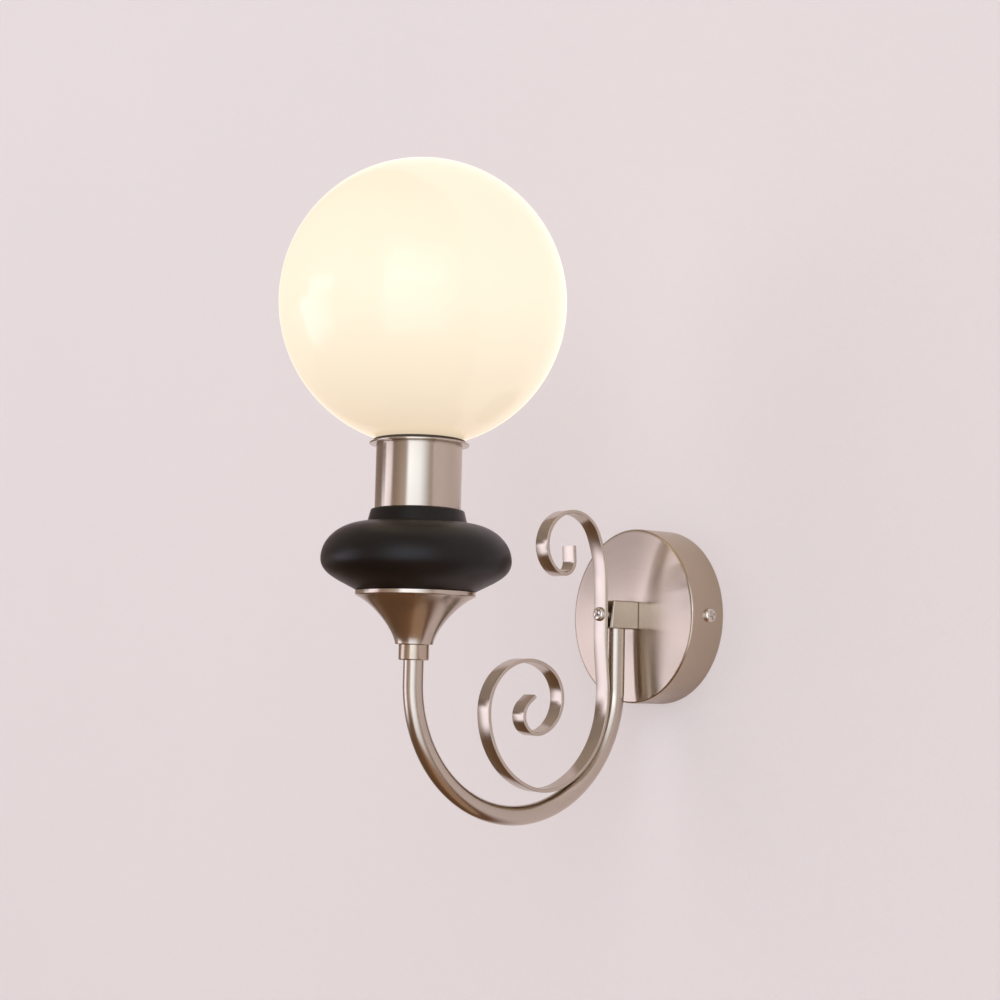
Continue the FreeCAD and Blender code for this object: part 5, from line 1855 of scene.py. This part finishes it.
        both = sheet.add("ShaderNodeMixShader", {
            0: hidden, 1: lit.outputs[0], 2: clear.outputs[0]})
        sheet.tree.links.new(both.outputs[0], sheet.output.inputs[0])
        return sheet.material

    def _wall(self) -> None:
        """Put the painted wall behind the light, open at the junction box under the cover."""
        spots = []
        for step in range(self.box_steps):
            angle = math.tau * (step + 0.5) / self.box_steps
            across, rise = math.cos(angle), math.sin(angle)
            height = self.wall_top if rise > 0 else -self.floor_level
            reach = min(self.half_width / max(abs(across), 1e-9), height / max(abs(rise), 1e-9))
            for radius in (self.box_radius, reach):
                spots.append((radius * across, self.wall_gap, radius * rise))
        count = len(spots)
        faces = [(i, i + 1, (i + 3) % count, (i + 2) % count) for i in range(0, count, 2)]
        self._sheet("stage_wall", spots, faces,
                    self._paint("stage_wall_paint", self.wall_colour, 700.0, True))

    def _floor(self) -> None:
        """Put the pale floor well below the light."""
        z, side, front, back = self.floor_level, self.half_width, -self.floor_depth, self.wall_gap
        spots = [(-side, front, z), (side, front, z), (side, back, z), (-side, back, z)]
        self._sheet("stage_floor", spots, [(0, 1, 2, 3)],
                    self._paint("stage_floor_paint", self.floor_colour, 500.0, False))

    def _room(self) -> None:
        """Give the world soft bands, as windows, walls and a wooden floor give in a room."""
        world = bpy.data.worlds.new("room")
        bpy.context.scene.world = world
        world.use_nodes = True
        world.node_tree.nodes.clear()
        w = Wiring(world.node_tree)
        place = w.add("ShaderNodeTexCoord")
        parts = w.add("ShaderNodeSeparateXYZ", {0: place.outputs["Generated"]})
        rise = parts.outputs[2]
        azimuth = w.math("ARCTAN2", parts.outputs[0], w.math("MULTIPLY", parts.outputs[1], -1.0))
        turn = w.span(azimuth, -math.pi, math.pi, 0.0, 1.0)
        whole = self._ramp(w, turn, self.rings[0].bands)
        for ring in self.rings[1:]:
            share = w.span(rise, self._sine(ring.begins), self._sine(ring.full), 0.0, 1.0)
            whole = w.mix(share, whole, self._ramp(w, turn, ring.bands))
        light_path = w.add("ShaderNodeLightPath")
        seen = w.mix(light_path.outputs["Is Camera Ray"], whole, self.seen_beyond)
        surface = w.add("ShaderNodeBackground", {"Color": seen, "Strength": 1.0})
        w.add("ShaderNodeOutputWorld", {"Surface": surface.outputs[0]})

    @staticmethod
    def _sine(degrees: float) -> float:
        """Return the sine of an elevation in degrees."""
        return math.sin(math.radians(degrees))

    def _ramp(self, w: Wiring, turn: bpy.types.NodeSocket,
              bands: Sequence[Band]) -> bpy.types.NodeSocket:
        """Add a ramp that goes once round the room.

        Args:
            w: The world's tree.
            turn: Azimuth as a share of a full turn.
            bands: Colours in the order of their azimuth.

        Returns:
            The ramp's colour.
        """
        node = w.add("ShaderNodeValToRGB", {0: turn})
        ramp = node.color_ramp
        ramp.interpolation = "LINEAR"
        while len(ramp.elements) < len(bands):
            ramp.elements.new(0.5)
        for element, band in zip(ramp.elements, bands):
            element.position = (band.azimuth + 180) / 360
        for element, band in zip(ramp.elements, bands):
            element.color = (*band.colour, 1.0)
        return node.outputs[0]

    def _lights(self) -> None:
        """Hang two soft lamps, one from the left and one high over the camera."""
        self._lamp("soft_left", (-2.1, -3.0, 1.9), 3.4, 40.0, (1.0, 0.98, 1.0))
        self._lamp("soft_high", (2.2, -2.7, 2.6), 3.4, 52.0, (1.0, 1.0, 1.0))

    def _lamp(self, name: str, place: Point3, size: float, power: float,
              colour: Colour) -> None:
        """Add one soft square lamp that looks at the light's middle.

        Args:
            name: Name of the lamp.
            place: Where it hangs.
            size: Length of its side.
            power: Power in watts.
            colour: Colour of its light.
        """
        data = bpy.data.lights.new(name, "AREA")
        data.shape, data.size, data.energy, data.color = "SQUARE", size, power, colour
        lamp = bpy.data.objects.new(name, data)
        lamp.location = place
        lamp.visible_camera = lamp.visible_glossy = False
        aim = Vector(self.middle) - Vector(place)
        lamp.rotation_euler = aim.to_track_quat("-Z", "Y").to_euler()
        bpy.context.scene.collection.objects.link(lamp)

    def _camera(self) -> None:
        """Put the camera where the photograph was taken from, low and to the right."""
        data = bpy.data.cameras.new("camera")
        data.sensor_width, data.lens = 36.0, self.lens
        data.clip_start, data.clip_end = 0.01, 30.0
        camera = bpy.data.objects.new("camera", data)
        turn = Matrix((self.view_right, self.view_up, -Vector(self.view_ahead))).transposed()
        camera.matrix_world = Matrix.Translation(self.camera_place) @ turn.to_4x4()
        bpy.context.scene.collection.objects.link(camera)
        bpy.context.scene.camera = camera


# --------------------------------------------------------------------------------------------
# Whole light
# --------------------------------------------------------------------------------------------


def corners() -> list[list[float]]:
    """Return the shown object's lowest and highest corner as plain lists."""
    return [list(map(float, corner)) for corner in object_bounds()]


def main() -> None:
    """Load the frame, build every piece round it and set up the studio."""
    logging.basicConfig(level=logging.INFO, format="%(name)s: %(message)s")
    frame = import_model()
    sweep = sweep_tree()
    canopy, block, strap = Canopy(), ArmBlock(), ScrollStrap()
    canopy.build()
    block.build()
    CrossScrews().build(block, canopy, strap.thickness)
    HiddenHardware().dress(frame["nodes"])
    BentTube().build(sweep)
    strap.build(sweep)
    LampStack().build()
    Lampholder().build()
    Globe().build()
    Bulb().build()
    Studio().build()


if __name__ == "__main__":
    main()
